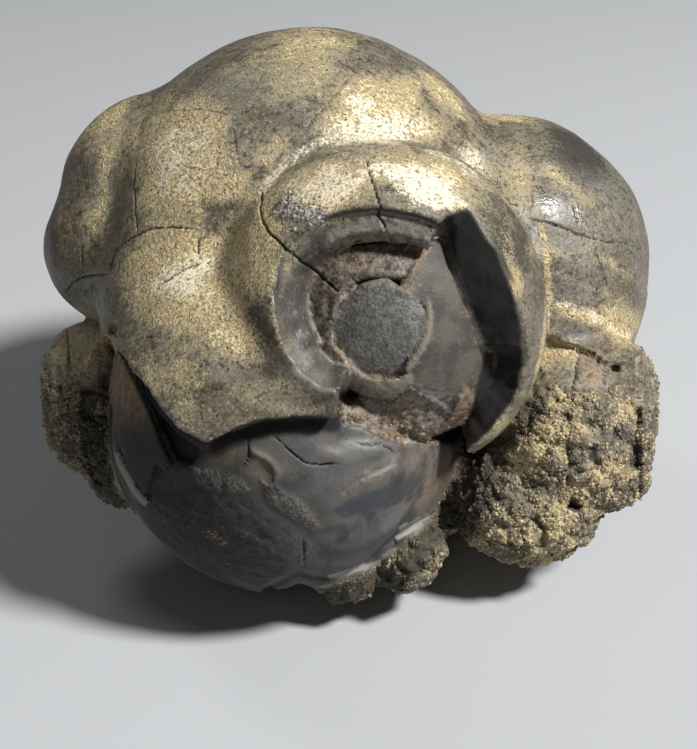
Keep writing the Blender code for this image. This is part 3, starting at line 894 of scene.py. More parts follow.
def ledge_thickness(points, spots, softness):
    """How much thicker the right lobe's skin is above its broken lip."""
    above_lip = -below_line(spots, LEDGE_LIP)
    ledge = between(0.0, 4.0, 0.25 * softness, above_lip)
    ledge = ledge + smooth_step(0, 4, above_lip) * np.exp(-above_lip / LEDGE_FADE)
    right_side = smooth_step(*LEDGE_START, spots[:, 0]) * (np.abs(above_lip) < LEDGE_REACH)
    right_side = right_side * (points @ LOOK_AHEAD < LEDGE_BACK)
    return LEDGE_THICKNESS * np.clip(ledge, 0, 1) * right_side


def flap_gap_distance(points, spots, chin, lost):
    """The distance to the gap under the flap's edge."""
    open_share = smooth_step(FLAP_GAP_FROM, FLAP_GAP_TO, spots[:, 0])
    gap = FLAP_GAP_LEFT * (1 - open_share) + FLAP_GAP * open_share
    undercut = np.maximum(chin - CHIN_INNER_RADIUS - gap, lost - FLAP_UNDERCUT)
    return np.maximum(undercut, points[:, 2] - CHIN_CENTRE[2] - FLAP_FOOT)


def pocket_distance(points):
    nearest = np.full(len(points), FAR)
    for start, end, radius in pocket_lines:
        gap, share = from_segment(points, start, end)
        nearest = np.minimum(nearest, np.linalg.norm(gap, axis=1) - radius * (1 - POCKET_TAPER * share))
    return nearest


def stone_distance(points, softness=COARSE):
    """The signed distance to the stone's surface, before its fine carving."""
    spots, _ = in_view(points)
    lobes = all_lobes_distance(points) - ledge_thickness(points, spots, softness)
    chin, nose = away_from(points, CHIN_CENTRE), away_from(points, NOSE_CENTRE)
    nose_side = ball_distance(points, NOSE_SIDE_CENTRE, NOSE_SIDE_RADIUS)
    chin_layer, nose_layer = inner_layers(points, softness)
    inner = smooth_least(lobes, chin_layer, CHIN_BLEND)
    inner = smooth_least(inner, nose_layer, HOLE_BLEND)
    outer = smooth_least(lobes, chin - CHIN_RADIUS, CHIN_BLEND)
    outer = smooth_least(outer, smooth_least(nose - NOSE_RADIUS, nose_side, NOSE_BLEND), NOSE_BLEND)

    ragged = EDGE_RAGGEDNESS * waves(points, EDGE_NOTCH_SIZE, 11)
    nose_skin = nose_skin_radius(points)
    hole = hole_distance(points, nose, nose_skin, spots) + ragged
    low_right = smooth_step(*WALL_STEP_START, points[:, 0]) * smooth_step(*WALL_STEP_TOP[::-1], points[:, 2])
    under_step = smooth_step(WALL_STEP_RADIUS + WALL_STEP_EDGE, WALL_STEP_RADIUS - WALL_STEP_EDGE, nose)
    hole = hole + WALL_STEP * low_right * under_step
    hole = np.maximum(hole, nose - nose_skin - HOLE_CUT_OVER)
    lost = chin_break_distance(points) + ragged
    skin = np.maximum(outer, -np.minimum(hole, np.maximum(lost, chin - CHIN_RADIUS - CHIN_CUT_OVER)))
    skin = np.maximum(skin, -flap_gap_distance(points, spots, chin, lost))
    stone = np.maximum(np.minimum(inner, skin), -pocket_distance(points))
    stone = stone + SWELL_HEIGHT * layered_waves(points, SWELL_SIZE, 3, layers=2)
    return np.maximum(stone, -points[:, 2])


def first_hit(spot):
    """The first place on the stone seen through a spot of the main view."""
    direction = look_through(spot)
    reach, furthest = SIGHT_RANGE
    for _ in range(SIGHT_STEPS):
        gap = float(stone_distance((CAMERA_PLACE + reach * direction)[None])[0])
        if gap < CLOSE_ENOUGH or reach > furthest:
            break
        reach += 0.6 * min(gap, 4.0)
    return CAMERA_PLACE + reach * direction


def find_pockets():
    """Where each pocket starts and ends, on the stone as it is without them."""
    starts = [first_hit(spot) for spot, _, _ in POCKETS]
    for start, (spot, radius, depth) in zip(starts, POCKETS):
        pocket_lines.append((start, start + depth * look_through(spot), radius))


# ================================================================ from the field to a mesh
def first_mesh():
    """The field's surface on an even grid, as points in millimetres and triangles."""
    low, high = (np.array(corner) / MM for corner in cad_box)
    low, high = low - 4 * GRID_STEP, high + 4 * GRID_STEP
    counts = np.ceil((high - low) / GRID_STEP).astype(int) + 1
    axes = [low[i] + GRID_STEP * np.arange(counts[i]) for i in range(3)]
    nodes = np.stack(np.meshgrid(*axes, indexing="ij"), axis=-1).reshape(-1, 3)
    values = np.empty(len(nodes))
    for start in range(0, len(nodes), NODES_AT_ONCE):
        part = slice(start, start + NODES_AT_ONCE)
        values[part] = stone_distance(nodes[part])
    field = openvdb.FloatGrid(background=BAND)
    field.copyFromArray(np.clip(values, -BAND, BAND).reshape(counts).astype(np.float32))
    points, quads = field.convertToQuads(isovalue=0.0)
    points = low + points.astype(float) * GRID_STEP
    triangles = np.concatenate((quads[:, (0, 1, 2)], quads[:, (0, 2, 3)])).astype(np.int64)
    volume = np.linalg.det(points[triangles]).sum()
    return points, triangles if volume > 0 else triangles[:, ::-1]


def settle(points, rounds=2, reach=0.4, softness=COARSE):
    """Moves points onto the field's surface, by no more than reach a round."""
    for _ in range(rounds):
        distance = stone_distance(points, softness)
        slope = np.empty_like(points)
        for axis in range(3):
            shifted = points.copy()
            shifted[:, axis] += SLOPE_STEP
            slope[:, axis] = (stone_distance(shifted, softness) - distance) / SLOPE_STEP
        move = -distance[:, None] * slope / np.maximum((slope**2).sum(axis=1), LEAST_SLOPE)[:, None]
        length = np.linalg.norm(move, axis=1, keepdims=True)
        points = points + move * np.minimum(1.0, reach / np.maximum(length, 1e-9))
    return points


def edges_of(triangles):
    """Each edge once, and for each triangle the numbers of its three edges."""
    ends = np.concatenate((triangles[:, (0, 1)], triangles[:, (1, 2)], triangles[:, (2, 0)]))
    ends.sort(axis=1)
    span = ends.max() + 1
    edges, index = np.unique(ends[:, 0] * span + ends[:, 1], return_inverse=True)
    return np.stack((edges // span, edges % span), axis=1), index.reshape(3, -1).T


def split_edges(points, triangles, pairs, triangle_edges, chosen):
    """Puts a point in the middle of each chosen edge and divides the triangles beside it."""
    middle = np.full(len(pairs), -1)
    middle[chosen] = len(points) + np.arange(chosen.sum())
    new_points = points[pairs[chosen]].mean(axis=1)
    a, b, c = triangles.T
    ab, bc, ca = middle[triangle_edges].T
    code = (ab >= 0) * 1 + (bc >= 0) * 2 + (ca >= 0) * 4
    parts = [triangles[code == 0]]

    def add(mask, *corners):
        parts.append(np.stack([corner[mask] for corner in corners], axis=1))

    turns = ((1, 2, a, b, c, ab, bc), (2, 4, b, c, a, bc, ca), (4, 1, c, a, b, ca, ab))
    for first, second, p, q, r, pq, qr in turns:
        add(code == first, p, pq, r)
        add(code == first, pq, q, r)
        add(code == first + second, pq, q, qr)
        add(code == first + second, p, pq, qr)
        add(code == first + second, p, qr, r)
    for corners in ((a, ab, ca), (b, bc, ab), (c, ca, bc), (ab, bc, ca)):
        add(code == 7, *corners)
    return np.concatenate((points, new_points)), np.concatenate(parts)


def point_normals(points, triangles):
    corners = points[triangles]
    faces = np.cross(corners[:, 1] - corners[:, 0], corners[:, 2] - corners[:, 0])
    normals = np.zeros_like(points)
    for corner, axis in itertools.product(range(3), repeat=2):
        normals[:, axis] += np.bincount(triangles[:, corner], faces[:, axis], len(points))
    return normals / np.maximum(np.linalg.norm(normals, axis=1, keepdims=True), 1e-12)


def seen_from_camera(points, normals, tree):
    """1 where nothing of the coarse stone stands between a point and the camera."""
    seen = np.zeros(len(points))
    camera = Vector(CAMERA_PLACE)
    starts = points + 0.5 * normals - 0.3 * LOOK_AHEAD
    for i in np.flatnonzero(facing_of(points, normals) > LEAST_FACING):
        start = Vector(starts[i])
        seen[i] = tree.ray_cast(start, (camera - start).normalized(), SIGHT_REACH)[0] is None
    return seen


def thin_hidden_side(points, triangles, seen):
    """Joins small faces on the side that the camera doesn't see."""
    obj = mesh_object("first_skin", points, triangles)
    hidden = obj.vertex_groups.new(name="hidden")
    spread = seen.copy()
    for _ in range(2):
        for a, b in itertools.permutations(range(3), 2):
            np.maximum.at(spread, triangles[:, a], spread[triangles[:, b]])
    hidden.add(np.flatnonzero(spread == 0).tolist(), 1.0, "REPLACE")
    joiner = obj.modifiers.new("thinner", "DECIMATE")
    joiner.vertex_group = "hidden"
    share = (spread[triangles].max(axis=1) == 0).mean()
    joiner.ratio = 1 - share * (1 - HIDDEN_KEPT)
    mesh = evaluated_mesh(obj)
    mesh.calc_loop_triangles()
    thinned = np.empty(3 * len(mesh.vertices), np.float32)
    mesh.vertices.foreach_get("co", thinned)
    faces = np.empty(3 * len(mesh.loop_triangles), np.int32)
    mesh.loop_triangles.foreach_get("vertices", faces)
    bpy.data.objects.remove(obj)
    bpy.data.meshes.remove(mesh)
    return thinned.reshape(-1, 3).astype(float) / MM, faces.reshape(-1, 3).astype(np.int64)


def crack_gap(points, spots, ahead):
    """How far each point is from a crack's middle, and how deep the cracks are carved there, in mm."""
    spots = wandering(spots, points, *CRACK_WANDER)
    nearest, carving = np.full(len(points), FAR), np.zeros(len(points))
    for line, width, depth in CRACKS:
        corners = np.array(line)
        low, high = corners.min(axis=0) - CRACK_REACH, corners.max(axis=0) + CRACK_REACH
        close = ((spots > low) & (spots < high)).all(axis=1)
        gap = line_distance(spots[close], line) * ahead[close] / FOCAL_LENGTH
        nearest[close] = np.minimum(nearest[close], gap)
        ends = np.minimum(away_from(spots[close], corners[0]), away_from(spots[close], corners[-1]))
        taper = CRACK_END + (1 - CRACK_END) * smooth_step(0.0, CRACK_TAPER, ends)
        carve = depth * taper * smooth_step(0.5 * width, 0.08 * width, gap)
        carving[close] = np.maximum(carving[close], carve)
    return nearest, carving


def layers_of(points, softness):
    """What each point of the surface belongs to, as shares from 0 to 1."""
    chin, nose = away_from(points, CHIN_CENTRE), away_from(points, NOSE_CENTRE)
    nose_skin = nose_skin_radius(points)
    hole_gap = hole_distance(points, nose, nose_skin, in_view(points)[0])
    lost_gap = chin_break_distance(points)
    above_chin, above_hole = inner_layers(points, softness)
    lobes = all_lobes_distance(points)

    def on_layer(above, others):
        return smooth_step(0.9, 0.4, above) * smooth_step(-0.3, 0.3, np.minimum(others, lobes) - above)

    on_floor = on_layer(above_hole, above_chin) * ((points - NOSE_CENTRE) @ LOOK_AHEAD < RELIEF_REACH)
    off_layers = (above_hole > 0.4) & (above_chin > 0.6) & (lobes > 0.3)
    in_nose_skin = smooth_step(0.15, 0.6, nose_skin - nose)
    in_chin_skin = smooth_step(CHIN_RADIUS - 0.1, CHIN_RADIUS - 0.5, chin) * (nose > NOSE_RADIUS)
    under_flap = smooth_step(-2.8, -1.6, lost_gap) * smooth_step(CHIN_RADIUS - 0.2, CHIN_RADIUS - 0.5, chin)
    return {
        "chin": on_layer(above_chin, above_hole),
        "floor": on_floor * smooth_step(0.25, -0.05, hole_gap),
        "hole_wall": smooth_step(1.3, 0.9, np.abs(hole_gap)) * in_nose_skin * off_layers,
        "flap_wall": smooth_step(0.8, 0.4, np.abs(lost_gap)) * in_chin_skin * off_layers,
        "under_flap": under_flap * (lost_gap < FLAP_UNDER_REACH),
    }


def knobbly_share(points):
    """1 on the knobbly lobes and the underside, 0 on the smooth skin."""
    knobbly = lobes_distance(points, KNOBBLY_LOBES)
    chin = chin_inner_distance(points)
    nose = away_from(points, NOSE_CENTRE) - NOSE_RADIUS
    side = ball_distance(points, NOSE_SIDE_CENTRE, NOSE_SIDE_RADIUS)
    smooth = np.minimum(lobes_distance(points, SMOOTH_LOBES), np.minimum(np.minimum(chin, nose), side))
    share = smooth_step(-0.6, 0.8, smooth - knobbly)
    spots, _ = in_view(points)
    in_front = points @ LOOK_AHEAD < 0.0
    for outline in SMOOTH_PATCHES:
        share = share * (1 - within(spots, outline, 9.0) * in_front)
    below_seam = smooth_step(*SEAM_FOOT, below_line(spots, SEAM)) * (chin < SEAM_FOOT_REACH) * in_front
    return np.maximum(share, below_seam)


def fine_relief(points, softness):
    """What the field's soft relief leaves out, in the hole and on the chin, in mm."""
    layers = layers_of(points, softness)
    chin, nose = inner_layers(points, softness)
    fine_chin, fine_nose = inner_layers(points, FINE)
    return (chin - fine_chin) * layers["chin"] + (nose - fine_nose) * layers["floor"], layers


def wanted_edge(points, seen):
    """How long the mesh's edges may be at each point."""
    spots, ahead = in_view(points)
    relief, layers = fine_relief(points, COARSE)
    rough = knobbly_share(points)
    front = np.where(rough > 0.3, ROUGH_EDGE, FRONT_EDGE)
    front = np.where(layers["chin"] > 0.3, CHIN_EDGE, front)
    front = np.where(layers["floor"] + layers["hole_wall"] + layers["flap_wall"] > 0.3, HOLE_EDGE, front)
    at_seam = between(*SEAM_EXTENT, 2.0, below_line(spots, SEAM)) * (layers["chin"] > 0.1)
    front = np.where((np.abs(relief) > FINE_RELIEF) | (at_seam > 0.3), FINE_EDGE, front)
    gap, _ = crack_gap(points, spots, ahead)
    front = np.minimum(front, CRACK_EDGE + 0.7 * np.maximum(gap - 0.28, 0.0))
    hidden = np.where(rough > 0.3, HIDDEN_ROUGH_EDGE, HIDDEN_EDGE)
    return np.where(seen > 0, front, hidden)


def refine(points, triangles, seen, rounds=6):
    """Splits the longest edges, against what is wanted there, until none is left or the mesh is full."""
    for _ in range(rounds):
        normals = point_normals(points, triangles)
        wanted = wanted_edge(points, seen)
        pairs, triangle_edges = edges_of(triangles)
        a, b = pairs.T
        length = np.linalg.norm(points[a] - points[b], axis=1)
        bend = 1 - np.einsum("ij,ij->i", normals[a], normals[b])
        shared = np.minimum(wanted[a], wanted[b])
        bent = (bend > BEND_LIMIT) & (np.maximum(seen[a], seen[b]) > 0)
        excess = length / (EDGE_EXCESS * np.where(bent, np.minimum(shared, BEND_EDGE), shared))
        chosen = excess > 1
        room = int((TRIANGLE_LIMIT - len(triangles)) / NEW_TRIANGLES)
        if chosen.sum() > room:
            order = np.argsort(-excess)[: max(room, 0)]
            chosen = np.zeros(len(pairs), bool)
            chosen[order] = True
        if not chosen.any():
            break
        old = len(points)
        points, triangles = split_edges(points, triangles, pairs, triangle_edges, chosen)
        points[old:] = settle(points[old:])
        seen = np.concatenate((seen, np.maximum(seen[a[chosen]], seen[b[chosen]])))
    return points, triangles


# ================================================================ the carving
def knob_relief(points):
    """The knobs' height, with pits between them."""
    push, push_size = KNOB_WARP
    warp = np.stack([push * waves(points, push_size, 60 + axis) for axis in range(3)], axis=1)
    height = np.zeros(len(points))
    for number, (size, rise) in enumerate(KNOB_SIZES):
        first, second = seeds_near(points + warp, size, 64 + number)
        dome = np.sqrt(np.maximum(1 - (first / 0.95) ** 2, 0))
        height += rise * (0.75 * dome + 0.5 * smooth_step(0.0, 0.3, second - first) - 0.75)
    pits = smooth_step(-0.15, -0.5, waves(points, PIT_SIZE, 67))
    return height - PIT_DEPTH * pits


def coloured_patches(points, spots):
    """The coloured patches and streaks of the main view."""
    zones = {}
    where = wandering(spots, points, *PATCH_WANDER)
    for name, patches in PATCHES.items():
        amount = np.zeros(len(points))
        for place, radii, turn, share in patches:
            amount = np.maximum(amount, share * np.minimum(1.2 * blob(where, place, radii, turn), 1.0))
        zones[name] = amount
    near = wandering(spots, points, *STREAK_WANDER)
    for name, width, amount, *lines in STREAKS:
        for line in lines:
            streak = amount * smooth_step(width, 0.3 * width, line_distance(near, line))
            zones[name] = np.maximum(zones.get(name, 0.0), streak)
    return zones


def survey(points, triangles, tree):
    """What each place on the uncarved stone is made of and where light and shade are painted on it, as
    shares from 0 to 1, and how high it stands.
    """
    at = SimpleNamespace(normals=point_normals(points, triangles))
    spots, ahead = in_view(points)
    at.spots = spots
    at.seen = seen_from_camera(points, at.normals, tree)
    at.facing = facing_of(points, at.normals)
    at.in_front = smooth_step(-0.05, 0.25, at.facing) * (points @ LOOK_AHEAD < FRONT_DEPTH)
    at.relief, at.layers = fine_relief(points, CLOSE)
    at.rough = knobbly_share(points)
    at.knobs = np.zeros(len(points))
    at.knobs[at.rough > 0] = knob_relief(points[at.rough > 0])
    _, cracks = crack_gap(points, spots, ahead)
    at.cracks = cracks * (at.seen * smooth_step(0.03, 0.2, at.facing))
    patches = coloured_patches(points, spots)
    at.patches = {name: amount * at.in_front for name, amount in patches.items()}

    chin, floor = at.layers["chin"], at.layers["floor"]
    at.rubble = within(spots, RUBBLE_FLOOR, 6.0) * np.maximum(floor, chin)
    slope = smooth_step(SIDE_EDGE + 2, SIDE_EDGE - 3, -outline_distance(spots, HOLE_RIM))
    slope = slope * floor * smooth_step(TREADS_FULL, TREADS_START + 12, spots[:, 0])
    slope = slope * smooth_step(*SIDE_FOOT[::-1], spots[:, 1])
    at.chin, at.floor = chin * (1 - at.rubble), np.maximum(floor, at.rubble) * (1 - slope)
    at.wall = np.maximum.reduce((at.layers["hole_wall"], at.layers["flap_wall"], slope))
    at.skin = (1 - at.rough) * (1 - at.chin) * (1 - at.floor) * (1 - slope)
    at.crust = at.chin * at.in_front * most(spots, CRUMB_STRIPS, 9.0)
    at.wrinkled = at.chin * at.in_front * within(spots, WRINKLED, 20.0)
    from_core = np.linalg.norm((spots - CORE_PLACE) / CORE_OVAL, axis=1) / CORE_SIZE
    at.core = at.floor * smooth_step(1.06, 0.90, from_core)
    at.core = at.core * smooth_step(4.0, 7.0, line_distance(spots, RIDGE_BAND))
    at.on_plate = within(spots, LAYER_PLATE, 4.0)
    at.treads = at.floor * (1 - at.core) * (1 - at.rubble) * (1 - at.on_plate)
    at.silver = at.patches["silver"] * at.skin
    at.beaded = np.where(at.silver > LEAST_SILVER, at.silver, 0.0)
    return at


def dust_of(points, at, hollow):
    """How much sediment lies on each place, with one patch of painted light below the nose."""
    unevenness = layered_waves(points, *DUST_UNEVENNESS)
    dust_and_painted_light = 0.10 * np.maximum(at.normals[:, 2], 0) - 0.04 + 0.20 * unevenness + 0.95 * at.patches["dust_and_painted_light"]
    dust_and_painted_light += 0.6 * at.patches["cream"]
    dust_and_painted_light += 0.4 * smooth_step(0.35, 0.8, hollow) * (1 - at.rough)
    behind = smooth_step(0.25, -0.05, at.facing)
    return dust_and_painted_light + behind * 0.45 * smooth_step(-0.2, 0.6, layered_waves(points, *BACK_DUST_UNEVENNESS))


def zones_of(points, at, hollow):
    """What goes into the mesh's attributes, from 0 to 1."""
    spots, in_front, patches = at.spots, at.in_front, at.patches
    on_skin = at.skin * (1 - at.wall)
    dust_and_painted_light = dust_of(points, at, hollow)
    shade_across = spots[:, 0] - CHIN_SHADE_LEAN * (spots[:, 1] - CHIN_SHADE_MIDDLE)
    facet = at.floor * within(spots, FACET, 2.0)
    shell = within(spots, CRESCENT_SHELL, 6.0) * smooth_step(*WARM_SHELL_FOOT[::-1], spots[:, 1])
    # painted shadow under the flap's lip
    under = at.layers["under_flap"] * in_front * between(*UNDER_FLAP_ACROSS, 8.0, spots[:, 0])
    under = under * smooth_step(*UNDER_FLAP_TOP, spots[:, 1])
    # painted shadow on the hole's right wall and the plate beside it
    dark_side = (at.floor + at.wall) * in_front * within(spots, DARK_SIDE, 5.0) * (1 - facet)
    grains = (at.rough + 0.2 * at.rubble) * smooth_step(-0.5, 0.1, layered_waves(points, 3.0, 87))
    grains = grains * (points[:, 2] > CRUMBS_FROM)
    whole = ("rough", "chin", "floor", "wall", "core", "rubble", "crust", "wrinkled", "silver")
    return {name: getattr(at, name) for name in whole} | {
        "plate": at.floor * at.on_plate * (1 - at.core),
        "crack": smooth_step(0.08, 0.3, at.cracks),
        # painted shade in the pits between the knobs and in hollows
        "pit_shade": at.rough * np.maximum(smooth_step(-0.1, -0.7, at.knobs), smooth_step(0.15, 0.55, hollow)),
        "hidden": 1 - at.seen,
        "dust_and_painted_light": np.maximum(dust_and_painted_light * on_skin, (0.15 + dust_and_painted_light) * at.rough),
        "cream": patches["cream"] * on_skin,
        "orange": patches["orange"],
        "gloss": patches["gloss"] * at.skin,
        "rust": patches["rust"] * at.seen,
        "cool": np.maximum(patches["cool"] * on_skin, most(spots, BLUE_BANDS, 5.0) * at.chin),
        "warm": np.maximum.reduce((patches["warm"] * at.seen, at.chin * in_front * shell, facet)),
        "pale": np.maximum(patches["pale"] * at.seen, at.chin * within(spots, SHELL_SLIVER, 3.0) * 0.8),
        "ridge": patches["ridge"] * at.floor,
        "chin_dark": at.chin * in_front * smooth_step(CHIN_SHADE_END, CHIN_SHADE_START, shade_across),
        # the riser streak adds painted shade on the hole's top wall
        "soil_and_shade": np.maximum(patches["soil_and_shade"], 0.75 * patches["riser"] * at.layers["hole_wall"]),
        "shade": np.maximum(dark_side, under),
        "front_crumbs": np.maximum(grains, SILVER_CRUMBS * at.silver) * at.seen,
        "back_crumbs": grains * (1 - at.seen),
    }


# Waves and beads on the carved stone: (where, pattern, height in mm, size in mm, seed).
ROUGHENING = (
    ("skin", layered_waves, 0.05, 2.6, 71),
    ("wrinkled", layered_waves, 0.22, 1.6, 72),
    ("rubble", layered_waves, 0.4, 1.1, 73),
    ("treads", layered_waves, 0.14, 0.9, 74),
    ("core", layered_waves, 0.05, 0.7, 75),
    ("crust", beads, 0.24, 0.6, 76),
    ("crust", layered_waves, 0.12, 1.2, 78),
    ("beaded", beads, 0.45, 1.1, 77),
)


def carve(points, triangles, tree):
    """The finished points, and what each place is made of."""
    points = settle(points, 3, 0.25, CLOSE)
    at = survey(points, triangles, tree)
    height = at.relief + at.rough * at.knobs - at.cracks
    for zone, pattern, rise, size, seed in ROUGHENING:
        share = getattr(at, zone)
        there = share > 0
        height[there] += rise * share[there] * pattern(points[there], size, seed)
    points = points + at.normals * height[:, None]
    points[:, 2] = np.maximum(points[:, 2], 0.0)
    hollow = 1 - stone_distance(points + HOLLOW_REACH * at.normals) / HOLLOW_REACH
    return points, zones_of(points, at, hollow)


# ================================================================ making the pieces
def link_new(name, data):
    obj = bpy.data.objects.new(name, data)
    bpy.context.scene.collection.objects.link(obj)
    return obj


def mesh_object(name, points, triangles):
    mesh = bpy.data.meshes.new(name)
    mesh.vertices.add(len(points))
    mesh.vertices.foreach_set("co", (points * MM).astype(np.float32).ravel())
    mesh.loops.add(3 * len(triangles))
    mesh.loops.foreach_set("vertex_index", triangles.astype(np.int32).ravel())
    mesh.polygons.add(len(triangles))
    mesh.polygons.foreach_set("loop_start", np.arange(0, 3 * len(triangles), 3, dtype=np.int32))
    mesh.update(calc_edges=True)
    mesh.shade_smooth()
    return link_new(name, mesh)


def evaluated_mesh(obj):
    """A plain mesh of what the object's modifiers make."""
    return bpy.data.meshes.new_from_object(obj.evaluated_get(bpy.context.evaluated_depsgraph_get()))


def write_zones(mesh, zones):
    for name, values in zones.items():
        attribute = mesh.attributes.new(name, "FLOAT", "POINT")
        attribute.data.foreach_set("value", np.clip(values, 0, 1).astype(np.float32))


# ================================================================ materials
class Shading:
    """Adds nodes to one tree. Sizes are in millimetres."""

    def __init__(self, tree):
        self.tree = tree

    def put(self, kind, inputs, output=0, **settings):
        node = self.tree.nodes.new(kind)
        for name, value in settings.items():
            setattr(node, name, value)
        for key, value in inputs.items():
            if isinstance(value, bpy.types.NodeSocket):
                self.tree.links.new(value, node.inputs[key])
            else:
                node.inputs[key].default_value = value
        return node.outputs[output]

    def place(self):
        return self.put("ShaderNodeTexCoord", {}, "Object")

    def zone(self, name):
        return self.put("ShaderNodeAttribute", {}, "Fac", attribute_name=name)

    def noise(self, place, size, detail=2.0, roughness=0.55, distortion=0.0):
        inputs = {"Vector": place, "Scale": 1 / (size * MM), "Detail": detail}
        return self.put("ShaderNodeTexNoise", inputs | {"Roughness": roughness, "Distortion": distortion})

    def cell_edges(self, place, size):
        inputs = {"Vector": place, "Scale": 1 / (size * MM)}
        return self.put("ShaderNodeTexVoronoi", inputs, "Distance", feature="DISTANCE_TO_EDGE")

    def math(self, operation, a, b):
        return self.put("ShaderNodeMath", {0: a, 1: b}, operation=operation)

    def times(self, a, b):
        return self.math("MULTIPLY", a, b)

    def plus(self, a, b):
        return self.math("ADD", a, b)

    def minus(self, a, b):
        return self.math("SUBTRACT", a, b)

    def most(self, *values):
        return functools.reduce(lambda a, b: self.math("MAXIMUM", a, b), values)

    def total(self, *weighted):
        """The sum of pairs multiplied together."""
        return functools.reduce(self.plus, [self.times(a, b) for a, b in weighted])

    def blend(self, share, a, b):
        """Between two numbers, as mix is between two colours."""
        return self.put("ShaderNodeMix", {0: share, 2: a, 3: b})

    def mix(self, share, a, b):
        return self.put("ShaderNodeMix", {0: share, 6: a, 7: b}, 2, data_type="RGBA")

    def rise(self, value, low, high, start=0.0, end=1.0):
        inputs = {"Value": value, "From Min": low, "From Max": high, "To Min": start, "To Max": end}
        return self.put("ShaderNodeMapRange", inputs, interpolation_type="SMOOTHSTEP")

    def two_tone(self, value, low, high, dark, light):
        return self.mix(self.rise(value, low, high), dark, light)

    def spread(self, name, speckle, reach, low, high, end=1.0):
        """How much of a finish lies at each place, scattered in specks about its zone."""
        specked = self.plus(self.zone(name), self.times(self.plus(speckle, -0.5), reach))
        return self.rise(specked, low, high, 0.0, end)

    def group(self, tree, place):
        return self.put("ShaderNodeGroup", {"Place": place}, "Colour", node_tree=tree)


def colour_group(name, make):
    """A node group from a place to a colour, so that the stone and its crumbs share it."""
    tree = bpy.data.node_groups.new(name, "ShaderNodeTree")
    tree.interface.new_socket("Place", in_out="INPUT", socket_type="NodeSocketVector")
    tree.interface.new_socket("Colour", in_out="OUTPUT", socket_type="NodeSocketColor")
    place = tree.nodes.new("NodeGroupInput").outputs["Place"]
    tree.links.new(make(Shading(tree), place), tree.nodes.new("NodeGroupOutput").inputs["Colour"])
    return tree


def oxide_colour(s, place):
    wide = s.noise(place, 9.0, 6.0, 0.70)
    tint = s.noise(place, 5.0, 3.0, 0.55, 0.4)
    fine = s.noise(place, 1.2, 4.0, 0.65)
    speck = s.noise(place, 0.40, 3.0, 0.6)
    colour = s.two_tone(wide, 0.40, 0.60, SKIN_BROWN, SKIN_GREY)
    colour = s.mix(s.rise(tint, 0.56, 0.70, 0.0, 0.6), colour, SKIN_BLUE)
    colour = s.mix(s.rise(fine, 0.50, 0.32, 0.0, 0.8), colour, SKIN_DARK)
    return s.mix(s.rise(speck, 0.54, 0.70, 0.0, 0.65), colour, SKIN_LIGHT)


def sediment_colour(s, place):
    grain = s.noise(place, 0.42, 3.0, 0.6)
    wide = s.noise(place, 5.0, 3.0)
    colour = s.two_tone(grain, 0.36, 0.62, TAN_DARK, TAN)
    return s.mix(s.rise(wide, 0.52, 0.70, 0.0, 0.35), colour, TAN_ORANGE)


def layer_lines(s, place):
    """The stone's thin growth layers where its skin is broken, as a value from 0 to 1."""
    middle = tuple(NOSE_CENTRE * MM)
    radius = s.put("ShaderNodeVectorMath", {0: place, 1: middle}, "Value", operation="DISTANCE")
    wander = s.times(s.plus(s.noise(place, 2.5, 2.0), -0.5), LAYER_WANDER * MM)
    scale = 1 / (LAYER_THICKNESS * MM)
    inputs = {"W": s.plus(radius, wander), "Scale": scale, "Detail": 3.0, "Roughness": 0.7}
    return s.put("ShaderNodeTexNoise", inputs, noise_dimensions="1D")


def chin_colour(s, place, small):
    bands = s.noise(place, 6.0, 3.0, 0.5, 0.8)
    colour = s.two_tone(bands, 0.36, 0.62, CHIN_DARK, CHIN_GREY)
    brown = s.noise(place, 3.0, 4.0, 0.6, 0.5)
    colour = s.mix(s.rise(brown, 0.48, 0.68, 0.0, 0.7), colour, CHIN_BROWN)
    colour = s.mix(s.rise(small, 0.35, 0.2, 0.0, 0.5), colour, CHIN_DARK)
    colour = s.mix(s.times(s.zone("cool"), 0.85), colour, CHIN_BLUE)
    return s.mix(s.zone("chin_dark"), colour, CHIN_SHADE)


def new_material(name):
    material = bpy.data.materials.new(name)
    material.use_nodes = True
    s = Shading(material.node_tree)
    return material, s, s.place()


def finish_with(material, s, colour, roughness, height, strength):
    bump = s.put("ShaderNodeBump", {"Height": height, "Strength": strength, "Distance": MM})
    shader = material.node_tree.nodes["Principled BSDF"]
    for name, value in {"Base Color": colour, "Roughness": roughness, "Normal": bump}.items():
        s.tree.links.new(value, shader.inputs[name])
    return material


